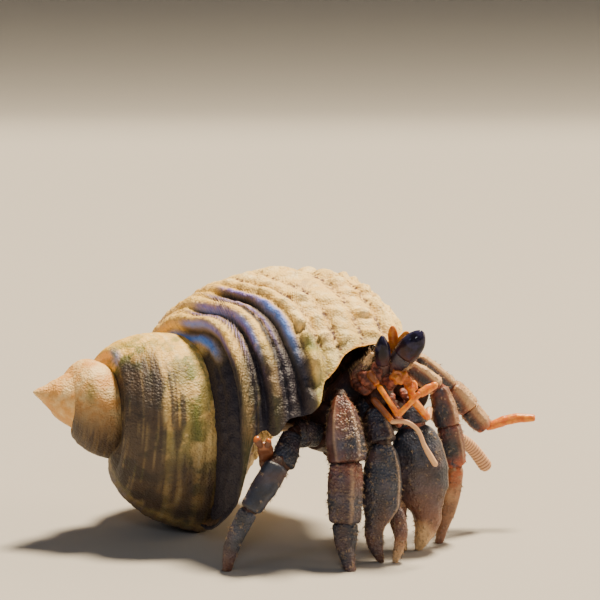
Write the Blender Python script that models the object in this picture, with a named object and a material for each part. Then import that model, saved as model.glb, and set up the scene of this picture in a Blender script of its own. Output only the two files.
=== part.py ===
"""A land hermit crab walking in a ribbed turban shell, as a still life-size model.

Lengths are in millimetres and turned into metres when a mesh is made.  +X runs from the tip of the
shell's spire to the crab's head, +Z is up, and the crab and its shell rest on z = 0.
"""

import math

import bpy
import numpy as np

# ---- the shell: one profile carried round an axis, growing by the same factor every turn ----
TURN_GROWTH = 2.12
TURNS_FROM_TIP = 4.75
SPIRE_TIP = (-31.5, -9.2, 20.0)
AXIS_SWING = 16.8       # degrees the axis turns away from +X, so the spire leans to the viewer
AXIS_DIP = 11.9         # degrees the axis runs downhill to the aperture
PROFILE_ALONG = 39.9    # centre of the profile along the axis, at the front of the last turn
PROFILE_OUT = 10.3      # centre of the profile out from the axis
PROFILE_REAR = 21.9     # half-length of the profile towards the spire
PROFILE_FORE = 7.8      # half-length of the profile towards the aperture
PROFILE_RADIUS = 14.0   # half-height of the profile, out from the axis
SUTURE = 175.309        # profile angle of the seam with the turn before
SHOULDER = 94.149       # profile angle where the next turn's seam lies
BASE = -math.degrees(math.asin(PROFILE_OUT / PROFILE_RADIUS))
LIP = ((SUTURE, 70), (163, 50), (150, 25), (142, 2), (127, -7), (113, -24), (98, -36), (84, -41),
       (70, -45), (60, -60), (40, -80), (0, -100), (BASE, -115))
SEAM_TURN = LIP[0][1] - 360
PARIETAL_SWEEP = -185   # how far the inner lip falls back between the seam and the axis
MOUTH_SCALE = 0.89      # opening of the aperture against the outline of the shell
CAVITY_END = -290       # turn angle, degrees, where the hollow stops
ABDOMEN_SCALE = 0.72
COLUMNS = 24            # faces in one turn
SPIRE_ROWS = 5
HOLLOW_RINGS = 19
BASE_ROWS = 7

# ---- the frame: what is taken off every point so the box stands centred on the floor ----
CENTRE = (-1.24, -4.23, 1.95)

MM = 0.001

COLOURS = {
    "shell": (0.72, 0.62, 0.44, 1), "horn": (0.16, 0.12, 0.11, 1), "cuticle": (0.36, 0.28, 0.22, 1),
    "feeler": (0.78, 0.32, 0.12, 1), "eye": (0.03, 0.03, 0.05, 1), "flesh": (0.55, 0.38, 0.32, 1),
}
GLOSS = {"shell": 0.55, "horn": 0.5, "cuticle": 0.6, "feeler": 0.45, "eye": 0.08, "flesh": 0.6}


def material(name):
    """One Principled material for each named stuff."""
    found = bpy.data.materials.get(name)
    if found:
        return found
    made = bpy.data.materials.new(name)
    made.use_nodes = True
    shader = made.node_tree.nodes["Principled BSDF"]
    shader.inputs["Base Color"].default_value = COLOURS[name]
    shader.inputs["Roughness"].default_value = GLOSS[name]
    return made


def add_mesh(name, stuff, points, faces, flip=False):
    """Make one named object from points in millimetres, standing on the floor."""
    points = np.asarray(points, float) - np.array(CENTRE)
    points[:, 2] = np.maximum(points[:, 2], 0.0)
    mesh = bpy.data.meshes.new(name)
    mesh.from_pydata((points * MM).tolist(), [], [list(reversed(f)) for f in faces] if flip else faces)
    mesh.update()
    mesh.shade_smooth()
    thing = bpy.data.objects.new(name, mesh)
    bpy.context.scene.collection.objects.link(thing)
    mesh.materials.append(material(stuff))
    return thing


# ------------------------------------------------------------------ shell

def unit(v):
    """The vector at length one."""
    v = np.asarray(v, float)
    return v / np.linalg.norm(v)


def shell_axes():
    """Axis of the shell, and the outward directions at the front and at the top of a turn."""
    swing, dip = math.radians(AXIS_SWING), math.radians(AXIS_DIP)
    axis = np.array([math.cos(swing) * math.cos(dip), math.sin(swing) * math.cos(dip), -math.sin(dip)])
    eye_line = np.array([0, math.cos(math.radians(8)), -math.sin(math.radians(8))])
    front = -unit(eye_line - (eye_line @ axis) * axis)
    return axis, front, -np.cross(axis, front)


def two_triangles(points, a, b, c, d):
    """Split the four-sided face a b c d across its shorter diagonal."""
    if np.linalg.norm(points[a] - points[c]) <= np.linalg.norm(points[b] - points[d]):
        return [[a, b, c], [a, c, d]]
    return [[a, b, d], [b, c, d]]


def profile(psi):
    """Profile point (along the axis, out from it) at an angle in degrees; 0 faces the aperture."""
    psi = np.radians(psi)
    reach = np.where(np.cos(psi) > 0, PROFILE_FORE, PROFILE_REAR)
    return PROFILE_ALONG + reach * np.cos(psi), PROFILE_OUT + PROFILE_RADIUS * np.sin(psi)


def on_turn(turn, along, out):
    """Place profile points at a turn angle (degrees); the size grows TURN_GROWTH each full turn."""
    axis, front, top = shell_axes()
    turn = np.asarray(turn, float)
    grown = TURN_GROWTH ** (turn / 360)
    angle = np.radians(turn)[..., None]
    ray = np.cos(angle) * front - np.sin(angle) * top
    return (np.array(SPIRE_TIP) + (grown * along)[..., None] * axis + (grown * out)[..., None] * ray)


def smooth_table(pairs, where):
    """Cubic curve through (angle, value) pairs given from high angle to low."""
    x = np.array([p[0] for p in pairs][::-1], float)
    y = np.array([p[1] for p in pairs][::-1], float)
    slope = np.gradient(y, x)
    k = np.clip(np.searchsorted(x, where) - 1, 0, len(x) - 2)
    w = x[k + 1] - x[k]
    t = (where - x[k]) / w
    return ((2 * t**3 - 3 * t**2 + 1) * y[k] + (t**3 - 2 * t**2 + t) * w * slope[k]
            + (3 * t**2 - 2 * t**3) * y[k + 1] + (t**3 - t**2) * w * slope[k + 1])


def parietal_turn(psi):
    """Turn angle of the inner lip, lying on the turn before."""
    t = (SHOULDER - np.asarray(psi, float)) / (SHOULDER - BASE)
    return SEAM_TURN + PARIETAL_SWEEP * t


def mouth_loop():
    """Aperture outline as profile points and turn angles: outer lip, columella, inner lip."""
    rows = np.concatenate([np.linspace(SUTURE, SHOULDER, SPIRE_ROWS + 1),
                           np.linspace(SHOULDER, BASE, BASE_ROWS + 1)[1:]])
    low = rows[SPIRE_ROWS:]
    outer = np.stack(profile(rows), 1)
    inner = np.stack(profile(low[::-1]), 1) / TURN_GROWTH
    lip = smooth_table(LIP, rows)
    fall = parietal_turn(low[::-1]) + 360
    steps = np.linspace(lip[-1], lip[-1] - 360, COLUMNS + 1)
    pillar = TURN_GROWTH ** ((steps - lip[-1]) / 360) * outer[-1, 0]
    pillar = np.stack([pillar, 0 * pillar], 1)
    points = np.concatenate([outer, pillar[1:-1], inner[:-1]])
    turns = np.concatenate([lip, np.full(COLUMNS - 1, lip[-1]), fall[:-1]])
    return points, turns


def shell():
    """Outer surface of every turn, the rim of the aperture and the hollow behind it."""
    rows = np.concatenate([np.linspace(SUTURE, SHOULDER, SPIRE_ROWS + 1),
                           np.linspace(SHOULDER, BASE, BASE_ROWS + 1)[1:]])
    count = int(TURNS_FROM_TIP * COLUMNS)
    lip = smooth_table(LIP, rows)
    start = np.where(rows >= SHOULDER - 1e-6, SEAM_TURN, parietal_turn(rows))
    points, faces, index = [], [], {}

    def turn_at(i, j):
        last = i - (count - COLUMNS)
        if last <= 0:
            return SEAM_TURN + 360 * last / COLUMNS
        return start[j] + (lip[j] - start[j]) * last / COLUMNS

    def corner(i, j):
        if j == 0 and i >= COLUMNS:
            return corner(i - COLUMNS, SPIRE_ROWS)
        if (i, j) not in index:
            index[i, j] = len(points)
            turn = turn_at(i, j) if j <= SPIRE_ROWS or i > count - COLUMNS else start[j]
            points.append(on_turn(turn, *profile(rows[j])))
        return index[i, j]

    for i in range(count):
        last = BASE_ROWS + SPIRE_ROWS if i >= count - COLUMNS else SPIRE_ROWS
        for j in range(last):
            square = corner(i, j), corner(i, j + 1), corner(i + 1, j + 1), corner(i + 1, j)
            faces += two_triangles(points, *square)

    # the blunt tip closes the ring made by the first seam and the first profile
    first = [corner(i, 0) for i in range(COLUMNS + 1)] + [corner(0, j) for j in range(SPIRE_ROWS - 1, 0, -1)]
    crown = len(points)
    points.append(np.mean([points[k] for k in first], 0) - 0.25 * shell_axes()[0])
    for a, b in zip(first, first[1:] + first[:1]):
        faces.append([crown, a, b])

    # aperture: outline, then rings of the hollow running back up the turn
    low = SPIRE_ROWS + BASE_ROWS
    edge = [corner(count, j) for j in range(low + 1)]
    edge += [corner(i, low) for i in range(count - 1, count - COLUMNS, -1)]
    edge += [corner(count - COLUMNS, j) for j in range(low, SPIRE_ROWS, -1)]
    for ring in hollow_rings(MOUTH_SCALE, np.linspace(0, 1, HOLLOW_RINGS)):
        base = len(points)
        points.extend(ring)
        new = list(range(base, base + len(ring)))
        for k in range(len(edge)):
            m = (k + 1) % len(edge)
            faces += two_triangles(points, edge[k], edge[m], new[m], new[k])
        edge = new
    end = len(points)
    points.append(np.mean([points[k] for k in edge], 0))
    for k in range(len(edge)):
        faces.append([edge[k], edge[(k + 1) % len(edge)], end])
    return add_mesh("shell", "shell", points, faces, flip=True)


def hollow_rings(scale, steps):
    """Rings following the whorl back from the aperture, each the outline shrunk about its middle."""
    loop, turns = mouth_loop()
    middle = loop.mean(0) + np.array([2.0, 1.5])
    for u in steps:
        shrunk = middle + scale * (loop - middle)
        yield on_turn(turns + (CAVITY_END - turns) * u, shrunk[:, 0], shrunk[:, 1])


# ------------------------------------------------------------------ the crab

def along_path(path, t):
    """Point at t (0 to 1) on a smooth curve through the path points, spaced by their distances."""
    path = np.asarray(path, float)
    gaps = np.linalg.norm(np.diff(path, axis=0), axis=1)
    s = np.concatenate([[0], np.cumsum(gaps)]) / gaps.sum()
    if len(path) == 2:
        return path[0] + (path[1] - path[0]) * np.asarray(t)[..., None]
    slope = np.gradient(path, s, axis=0)
    k = np.clip(np.searchsorted(s, t) - 1, 0, len(s) - 2)
    w = (s[k + 1] - s[k])[..., None]
    x = (np.asarray(t) - s[k])[..., None] / w
    return ((2 * x**3 - 3 * x**2 + 1) * path[k] + (x**3 - 2 * x**2 + x) * w * slope[k]
            + (3 * x**2 - 2 * x**3) * path[k + 1] + (x**3 - x**2) * w * slope[k + 1])


def limb(name, stuff, path, wide, deep, side=(0, -1, 0), rings=7, sides=8, cap=(0.16, 0.16), box=2.3):
    """Closed rounded rod along a path.

    wide and deep are half-sizes at even steps along it: wide is measured across, deep towards the
    side direction.  cap gives the share of the length rounded off at each end; box squares the
    section (2 is an ellipse).
    """
    t = 0.5 - 0.5 * np.cos(np.linspace(0, math.pi, rings + 2)[1:-1])
    centre = along_path(path, t)
    step = 1e-3
    heading = along_path(path, np.minimum(t + step, 1)) - along_path(path, np.maximum(t - step, 0))
    heading /= np.linalg.norm(heading, axis=1)[:, None]
    side = np.asarray(side, float)
    toward = side - (heading @ side)[:, None] * heading
    toward /= np.linalg.norm(toward, axis=1)[:, None]
    across = np.cross(heading, toward)
    end = np.minimum(1, np.minimum(t / cap[0], (1 - t) / cap[1]))
    round_off = np.sqrt(1 - (1 - end) ** 2)
    w = np.interp(t, np.linspace(0, 1, len(wide)), wide) * round_off
    d = np.interp(t, np.linspace(0, 1, len(deep)), deep) * round_off
    angle = np.arange(sides) * 2 * math.pi / sides + math.pi / sides
    c, s = np.cos(angle), np.sin(angle)
    c, s = np.sign(c) * np.abs(c) ** (2 / box), np.sign(s) * np.abs(s) ** (2 / box)
    ring = (centre[:, None] + w[:, None, None] * c[None, :, None] * across[:, None]
            + d[:, None, None] * s[None, :, None] * toward[:, None])
    points = [along_path(path, np.array(0.0))] + list(ring.reshape(-1, 3)) + [along_path(path, np.array(1.0))]
    faces, last = [], len(points) - 1
    for k in range(sides):
        m = (k + 1) % sides
        faces.append([0, 1 + m, 1 + k])
        for i in range(rings - 1):
            a = 1 + i * sides
            faces.append([a + k, a + m, a + sides + m, a + sides + k])
        a = 1 + (rings - 1) * sides
        faces.append([a + k, a + m, last])
    return add_mesh(name, stuff, points, faces, flip=True)


def abdomen():
    """Soft body that fills the whorl behind the head, shaped by the hollow it lies in."""
    steps = np.linspace(0, 1, HOLLOW_RINGS)[3:12]
    loop, turns = mouth_loop()
    middle = loop.mean(0) + np.array([2.0, 1.5])
    points, faces, edge = [], [], None
    for n, u in enumerate(steps):
        shrink = ABDOMEN_SCALE * (0.6 if n in (0, len(steps) - 1) else 0.9 if n == 1 else 1)
        ring = middle + shrink * (loop - middle)
        base = len(points)
        points.extend(on_turn(turns + (CAVITY_END - turns) * u, ring[:, 0], ring[:, 1]))
        new = list(range(base, base + len(loop)))
        if edge is None:
            points.append(np.mean(points, 0))
            for k in range(len(new)):
                faces.append([len(points) - 1, new[k], new[(k + 1) % len(new)]])
        else:
            for k in range(len(new)):
                m = (k + 1) % len(new)
                faces += two_triangles(points, edge[k], new[k], new[m], edge[m])
        edge = new
    points.append(np.mean([points[k] for k in edge], 0))
    for k in range(len(edge)):
        faces.append([edge[k], len(points) - 1, edge[(k + 1) % len(edge)]])
    return add_mesh("abdomen", "flesh", points, faces, flip=True)


def head():
    """Chest, carapace shield, eyes, and the plates and flesh at their foot."""
    limb("thorax", "flesh", [(3.8, -7.4, 13.0), (6.5, -10.0, 14.9), (9.5, -12.2, 17.1)],
         (1.7, 2.6, 2.5, 1.9), (1.6, 2.1, 2.0, 1.5), rings=8, sides=10)
    limb("shield", "cuticle", [(9.6, -12.9, 22.0), (7.6, -10.6, 21.4), (4.6, -7.4, 18.6)],
         (1.6, 2.5, 2.9, 2.6), (1.2, 1.9, 2.2, 2.0), side=(0, -0.5, 0.8), rings=8, sides=10)
    limb("eyestalk_right", "cuticle", [(9.6, -15.3, 22.8), (9.5, -16.2, 24.8)],
         (0.62, 0.7, 0.85), (0.6, 0.66, 0.75), sides=8, rings=5)
    limb("cornea_right", "eye", [(9.45, -16.35, 25.05), (9.35, -17.4, 28.0)],
         (0.86, 0.95, 0.9, 0.75), (0.8, 0.85, 0.82, 0.7), rings=7, sides=10, cap=(0.1, 0.4), box=2)
    limb("eyestalk_left", "cuticle", [(11.1, -15.5, 24.2), (12.25, -16.3, 26.0)],
         (0.85, 1.1, 1.3), (0.6, 0.75, 0.85), sides=8, rings=5)
    limb("cornea_left", "eye", [(12.4, -16.4, 26.2), (13.9, -16.9, 28.4)],
         (1.3, 1.3, 1.2, 1.0), (0.85, 0.9, 0.85, 0.7), rings=7, sides=10, cap=(0.1, 0.45), box=2)
    limb("acicle_right", "cuticle", [(7.0, -15.6, 23.4), (8.2, -15.9, 25.6)],
         (0.5, 0.55, 0.4, 0.28), (0.4, 0.4, 0.3, 0.26), sides=6, rings=5)
    limb("face_right", "flesh", [(6.4, -15.0, 21.5), (7.6, -15.6, 22.3), (8.4, -16.0, 21.5)],
         (0.9, 1.1, 0.9), (0.8, 0.9, 0.8), sides=8, rings=6)


def feelers():
    """Antennules and antennae of both sides, and the mouth limbs between them."""
    limb("antennule_right_base", "feeler", [(7.9, -17.0, 23.7), (8.8, -17.5, 22.4)],
         (0.5, 0.55, 0.45), (0.5, 0.5, 0.4), sides=6, rings=5)
    limb("antennule_right_middle", "feeler", [(9.0, -17.6, 22.0), (10.9, -18.8, 19.4)],
         (0.36, 0.34, 0.42), (0.36, 0.34, 0.4), sides=6, rings=5, cap=(0.1, 0.1))
    limb("antennule_right_end", "feeler", [(11.35, -18.9, 19.3), (13.5, -18.6, 21.5)],
         (0.42, 0.34, 0.4), (0.4, 0.34, 0.38), sides=6, rings=5, cap=(0.1, 0.1))
    limb("antennule_right_tip", "feeler", [(13.75, -18.5, 21.7), (15.4, -18.0, 22.5)],
         (0.42, 0.5, 0.4), (0.3, 0.32, 0.3), sides=6, rings=5)
    limb("antennule_left_base", "feeler", [(10.9, -16.4, 23.4), (12.2, -16.6, 22.6)],
         (0.7, 0.8, 0.6), (0.55, 0.6, 0.5), sides=6, rings=5)
    limb("antennule_left_end", "feeler", [(10.5, -14.0, 23.4), (10.8, -14.3, 25.5)],
         (0.4, 0.4, 0.45), (0.3, 0.3, 0.3), sides=6, rings=5)
    limb("antennule_left_tip", "feeler", [(10.85, -14.5, 25.8), (10.35, -15.3, 28.9)],
         (0.45, 0.6, 0.7, 0.5), (0.26, 0.28, 0.3, 0.26), sides=6, rings=6)
    limb("antenna_right_stem", "feeler", [(8.3, -17.0, 20.7), (10.3, -18.1, 18.5)],
         (0.45, 0.4, 0.42), (0.4, 0.36, 0.36), sides=6, rings=5)
    limb("antenna_right_whip", "feeler",
         [(10.6, -18.3, 18.2), (12.3, -18.6, 18.2), (13.2, -18.9, 17.6), (14.2, -18.8, 15.5),
          (15.5, -18.3, 13.2)],
         (0.3, 0.3, 0.3, 0.34), (0.28, 0.28, 0.28, 0.32), sides=6, rings=9, cap=(0.06, 0.08))
    limb("antenna_left_stem", "feeler", [(12.5, -16.3, 22.2), (13.0, -16.3, 20.5)],
         (0.5, 0.42, 0.45), (0.4, 0.36, 0.4), sides=6, rings=5)
    limb("antenna_left_joint", "feeler", [(13.2, -16.2, 20.1), (14.6, -15.1, 18.2)],
         (0.42, 0.4, 0.4), (0.36, 0.34, 0.34), sides=6, rings=5)
    limb("antenna_left_whip", "feeler",
         [(14.95, -14.6, 18.0), (15.15, -11.5, 18.3), (15.45, -8.9, 17.4), (16.9, -7.4, 15.8),
          (18.6, -6.7, 14.3), (20.5, -5.2, 12.6), (22.8, -3.8, 9.5)],
         (0.4, 0.42, 0.5, 0.65, 0.7), (0.36, 0.38, 0.45, 0.52, 0.5), sides=6, rings=14, cap=(0.05, 0.08))
    limb("mouth_limb_right", "flesh", [(10.4, -14.6, 20.6), (11.0, -15.8, 18.8), (11.4, -16.6, 17.6)],
         (0.45, 0.5, 0.4), (0.45, 0.45, 0.4), sides=6, rings=6)
    limb("mouth_limb_left", "flesh", [(11.8, -14.0, 21.0), (12.3, -14.6, 20.4), (12.7, -15.3, 19.6)],
         (0.45, 0.45, 0.4), (0.4, 0.4, 0.35), sides=6, rings=6)


def claws():
    """The two grasping limbs, the left one larger; each palm carries its fixed finger."""
    limb("claw_right_merus", "cuticle", [(7.6, -12.8, 19.6), (7.7, -14.3, 17.8)],
         (0.9, 1.0, 0.9), (0.9, 1.0, 0.9), sides=8, rings=5)
    limb("claw_right_carpus", "cuticle", [(8.6, -16.0, 19.0), (9.4, -17.6, 15.9)],
         (0.8, 1.4, 1.7), (0.8, 1.2, 1.5), sides=8, rings=6)
    limb("claw_right_palm", "cuticle",
         [(9.4, -17.9, 15.5), (9.4, -18.3, 12.0), (9.2, -18.6, 8.8), (8.5, -18.8, 5.4), (9.2, -18.9, 2.2)],
         (1.4, 2.0, 2.3, 2.3, 1.2, 0.95, 0.5), (1.4, 1.6, 1.7, 1.5, 1.1, 0.8, 0.45), sides=10, rings=10)
    limb("claw_right_finger", "cuticle", [(11.3, -18.7, 8.0), (11.6, -18.9, 5.4), (10.9, -19.0, 2.1)],
         (0.6, 0.75, 0.35), (0.7, 0.7, 0.4), sides=8, rings=7)
    limb("claw_left_merus", "cuticle", [(10.7, -8.9, 21.0), (11.7, -10.6, 19.9)],
         (1.2, 1.4, 1.2), (1.2, 1.3, 1.1), sides=8, rings=5)
    limb("claw_left_carpus", "cuticle", [(12.3, -12.0, 19.3), (13.2, -12.9, 16.9)],
         (1.4, 1.9, 1.9), (1.2, 1.6, 1.7), sides=8, rings=6)
    limb("claw_left_palm", "cuticle",
         [(13.4, -13.1, 16.5), (14.1, -13.4, 12.6), (14.6, -13.5, 9.0), (15.0, -13.6, 5.7), (13.8, -13.6, 2.2)],
         (1.9, 2.6, 2.9, 2.7, 1.7, 1.2, 0.5), (1.6, 2.1, 2.3, 2.0, 1.5, 1.1, 0.5), sides=10, rings=10)
    limb("claw_left_finger", "cuticle", [(11.9, -13.5, 8.0), (11.5, -13.6, 5.4), (12.2, -13.7, 2.1)],
         (0.8, 0.95, 0.4), (0.9, 0.85, 0.45), sides=8, rings=7)


def walking_legs():
    """Second and third legs of each side, and the small fourth leg that grips the lip."""
    limb("leg_2_right_merus", "cuticle", [(3.9, -13.8, 13.9), (4.3, -15.8, 18.6)],
         (0.9, 1.1, 1.0), (0.9, 1.0, 0.9))
    limb("leg_2_right_carpus", "cuticle", [(4.6, -17.9, 21.2), (5.4, -20.0, 14.1)],
         (0.9, 1.9, 2.25, 2.2), (0.8, 1.3, 1.7, 1.7))
    limb("leg_2_right_propodus", "horn", [(5.2, -20.05, 13.75), (5.1, -21.0, 7.3)],
         (1.8, 2.0, 1.95, 1.8), (1.5, 1.6, 1.5, 1.4), cap=(0.1, 0.1))
    limb("leg_2_right_dactyl", "horn", [(5.1, -21.05, 7.0), (5.2, -21.6, 4.4), (5.8, -22.6, 1.3)],
         (1.55, 1.3, 0.8, 0.45), (1.2, 1.0, 0.7, 0.4))
    limb("leg_3_right_merus", "cuticle", [(1.8, -15.2, 16.0), (-0.2, -17.3, 16.8)],
         (1.3, 1.6, 1.4), (1.0, 1.2, 1.1))
    limb("leg_3_right_carpus", "cuticle", [(-0.9, -18.5, 16.7), (-1.9, -21.0, 14.0)],
         (1.1, 1.4, 1.4), (0.7, 0.9, 0.9))
    limb("leg_3_right_propodus", "horn", [(-2.6, -21.7, 13.9), (-5.5, -23.0, 9.3)],
         (1.4, 1.45, 1.2), (0.85, 0.9, 0.8))
    limb("leg_3_right_dactyl", "horn", [(-5.8, -23.05, 8.9), (-7.5, -22.8, 5.4), (-8.4, -22.4, 1.3)],
         (1.15, 0.95, 0.4), (0.8, 0.7, 0.4))
    limb("leg_2_left_merus", "cuticle", [(12.6, -11.0, 23.4), (15.9, -10.2, 20.9)],
         (0.9, 1.2, 1.2), (0.7, 0.9, 0.9))
    limb("leg_2_left_carpus", "cuticle", [(16.4, -10.2, 20.5), (17.4, -10.3, 16.4)],
         (1.0, 1.4, 1.4), (0.8, 1.0, 1.0))
    limb("leg_2_left_propodus", "horn", [(17.5, -10.3, 16.05), (18.5, -9.8, 11.5)],
         (1.35, 1.4, 1.15), (1.0, 0.95, 0.8))
    limb("leg_2_left_dactyl", "horn", [(18.5, -9.75, 11.1), (17.9, -9.8, 7.2), (16.3, -10.2, 1.3)],
         (0.95, 1.0, 0.75, 0.4), (0.75, 0.7, 0.6, 0.4))
    limb("leg_3_left_merus", "cuticle", [(14.1, -6.0, 23.5), (17.9, -3.2, 19.8)],
         (0.8, 1.1, 1.1), (0.7, 0.9, 0.9))
    limb("leg_3_left_carpus", "cuticle", [(18.4, -3.0, 19.3), (20.4, -2.2, 16.9)],
         (1.2, 1.5, 1.45), (0.9, 1.0, 1.0))
    limb("leg_3_left_propodus", "horn", [(20.7, -2.1, 16.4), (22.5, -1.8, 14.3)],
         (1.3, 1.3, 1.0), (0.9, 0.9, 0.8))
    limb("leg_3_left_dactyl", "feeler", [(22.95, -1.7, 14.3), (25.9, -1.5, 15.2), (28.6, -1.5, 15.3)],
         (0.5, 0.7, 0.7, 0.4), (0.5, 0.6, 0.6, 0.4))
    limb("leg_4_right", "feeler", [(-3.7, -19.6, 12.4), (-3.8, -21.0, 14.9), (-4.0, -22.5, 16.9)],
         (0.7, 0.85, 0.85), (0.5, 0.55, 0.5), rings=6, sides=8)
    limb("leg_4_left", "feeler", [(9.6, -3.4, 17.2), (10.8, -1.0, 19.4), (10.6, 0.8, 21.4)],
         (0.7, 0.85, 0.85), (0.5, 0.55, 0.5), rings=6, sides=8)


for old in list(bpy.data.objects):
    bpy.data.objects.remove(old, do_unlink=True)
shell()
abdomen()
head()
feelers()
claws()
walking_legs()
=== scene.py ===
# %% [markdown]
# # Land hermit crab in a turban shell
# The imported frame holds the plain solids.  This lesson puts the looks round them: the ribbed and
# beaded shell, the crab's plates, joints, eyes, feelers and bristles, then a floor, lights and camera.

import math

import bpy
import numpy as np
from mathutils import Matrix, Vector


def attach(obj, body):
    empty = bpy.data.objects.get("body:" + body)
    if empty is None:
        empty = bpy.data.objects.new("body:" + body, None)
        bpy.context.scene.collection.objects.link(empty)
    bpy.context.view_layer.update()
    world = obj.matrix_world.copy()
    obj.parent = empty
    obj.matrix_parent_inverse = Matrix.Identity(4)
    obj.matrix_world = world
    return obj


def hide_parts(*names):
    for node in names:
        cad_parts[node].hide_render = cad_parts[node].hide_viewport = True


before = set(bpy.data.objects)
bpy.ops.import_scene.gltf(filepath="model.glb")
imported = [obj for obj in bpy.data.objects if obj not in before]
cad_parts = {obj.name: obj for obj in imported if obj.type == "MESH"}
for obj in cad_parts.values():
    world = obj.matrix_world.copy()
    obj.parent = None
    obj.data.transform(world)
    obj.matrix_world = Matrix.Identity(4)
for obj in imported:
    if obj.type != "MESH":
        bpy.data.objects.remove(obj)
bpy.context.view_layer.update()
MM = 0.001

# %% [markdown]
# ## Colours and nodes
# Every colour is written as sRGB hex, the way a painter's chart gives it, and made linear once.  Nodes
# could each be made in three or four lines.  One small function makes them with their settings and
# links, so a finish reads as a list of what it is made of.

# %% Colours and nodes


def hex_colour(code):
    """sRGB hex to linear RGBA: c / 12.92 below 0.04045, else ((c + 0.055) / 1.055) to the power 2.4."""
    c = np.array([int(code[i:i + 2], 16) for i in (1, 3, 5)]) / 255
    c = np.where(c <= 0.04045, c / 12.92, ((c + 0.055) / 1.055) ** 2.4)
    return (*c.tolist(), 1.0)


def node(tree, kind, settings=None, **links):
    """Add a node.  Settings are its properties; links are its inputs, by name or as i and a number,
    each a value, a hex colour or another node's output."""
    made = tree.nodes.new(kind)
    for key, value in (settings or {}).items():
        setattr(made, key, value)
    for key, value in links.items():
        socket = made.inputs[int(key[1:]) if key[1:].isdigit() else key.replace("_", " ")]
        if isinstance(value, bpy.types.NodeSocket):
            tree.links.new(value, socket)
        else:
            socket.default_value = hex_colour(value) if isinstance(value, str) else value
    return made


print("mid grey is", round(hex_colour("#808080")[0], 3), "in linear light")

# %% [markdown]
# ## Finishes
# Every real surface here is one colour with others laid over it: stain, wear, algae.  Each layer is
# held by a mask that comes with the mesh, by a pattern in real sizes, or by both.  An image could do
# that too, but a pattern worked out from the place on the piece has no seams and stays sharp.

# %% Patterns


def pattern(tree, size_mm, dots=False):
    """A value over the piece: domes size_mm apart, highest at their middles, or clouds whose largest are
    size_mm across.  Object coordinates are in metres, so the scale is 1000 / size_mm."""
    where = node(tree, "ShaderNodeTexCoord").outputs["Object"]
    if dots:
        cells = node(tree, "ShaderNodeTexVoronoi", Vector=where, Scale=1000 / size_mm, Randomness=0.85)
        return node(tree, "ShaderNodeMath", {"operation": "SUBTRACT"}, i0=1.0,
                    i1=cells.outputs["Distance"]).outputs[0]
    return node(tree, "ShaderNodeTexNoise", Vector=where, Scale=1000 / size_mm, Detail=4.0,
                Roughness=0.6).outputs["Fac"]


def cover_of(tree, mask, share, size_mm, edges, dots):
    """Share x the mesh's mask x the pattern, stepped smoothly between its two edges."""
    cover = share
    if mask:
        spread = node(tree, "ShaderNodeAttribute", {"attribute_name": mask}).outputs["Fac"]
        cover = node(tree, "ShaderNodeMath", {"operation": "MULTIPLY"}, i0=cover, i1=spread).outputs[0]
    if size_mm:
        stepped = node(tree, "ShaderNodeMapRange", {"interpolation_type": "SMOOTHSTEP"},
                       Value=pattern(tree, size_mm, dots), From_Min=edges[0], From_Max=edges[1])
        cover = node(tree, "ShaderNodeMath", {"operation": "MULTIPLY"}, i0=cover,
                     i1=stepped.outputs["Result"]).outputs[0]
    return cover


print("a pattern of 0.3 mm has scale", round(1000 / 0.3))

# %% Finishes
ALL, CLOUDS, DOTS = "", False, True     # a layer's mask where it lies everywhere, and the two patterns
RELIEF_EDGES = (0.2, 0.9)


def finish(name, roughness, base, layers=(), relief=(), **values):
    """A material: layers of colour (colour, mask, share, pattern size, edges, dots) over a base, and a
    relief of (depth, mask, pattern size, dots), all sizes in mm."""
    made = bpy.data.materials.new(name)
    made.use_nodes = True
    tree, shader = made.node_tree, made.node_tree.nodes["Principled BSDF"]
    shader.inputs["Base Color"].default_value = hex_colour(base)
    shader.inputs["Roughness"].default_value = roughness
    for key, value in values.items():
        shader.inputs[key.replace("_", " ")].default_value = value
    below = base
    for colour, mask, share, size_mm, edges, dots in layers:
        cover = cover_of(tree, mask, share, size_mm, edges, dots)
        mix = node(tree, "ShaderNodeMix", {"data_type": "RGBA"}, i0=cover, i6=below, i7=colour)
        below = mix.outputs[2]
    if layers:
        tree.links.new(below, shader.inputs["Base Color"])
    normal = None
    for depth, mask, size_mm, dots in relief:
        height = cover_of(tree, mask, 1.0, size_mm, RELIEF_EDGES, dots)
        bumped = node(tree, "ShaderNodeBump", Height=height, Distance=depth * MM)
        if normal:
            tree.links.new(normal, bumped.inputs["Normal"])
        normal = bumped.outputs["Normal"]
        tree.links.new(normal, shader.inputs["Normal"])
    return made


print("a relief rises while its pattern goes from", RELIEF_EDGES[0], "to", RELIEF_EDGES[1])

# %% [markdown]
# ## Meshes from arrays
# A shape is worked out as a grid of points and handed to Blender in one go.  Lengths are in millimetres
# in the drawing frame, whose floor and middle differ from the row's by CENTRE.

# %% Meshes from arrays
CENTRE = np.array((-1.24, -4.23, 1.95))


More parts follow.
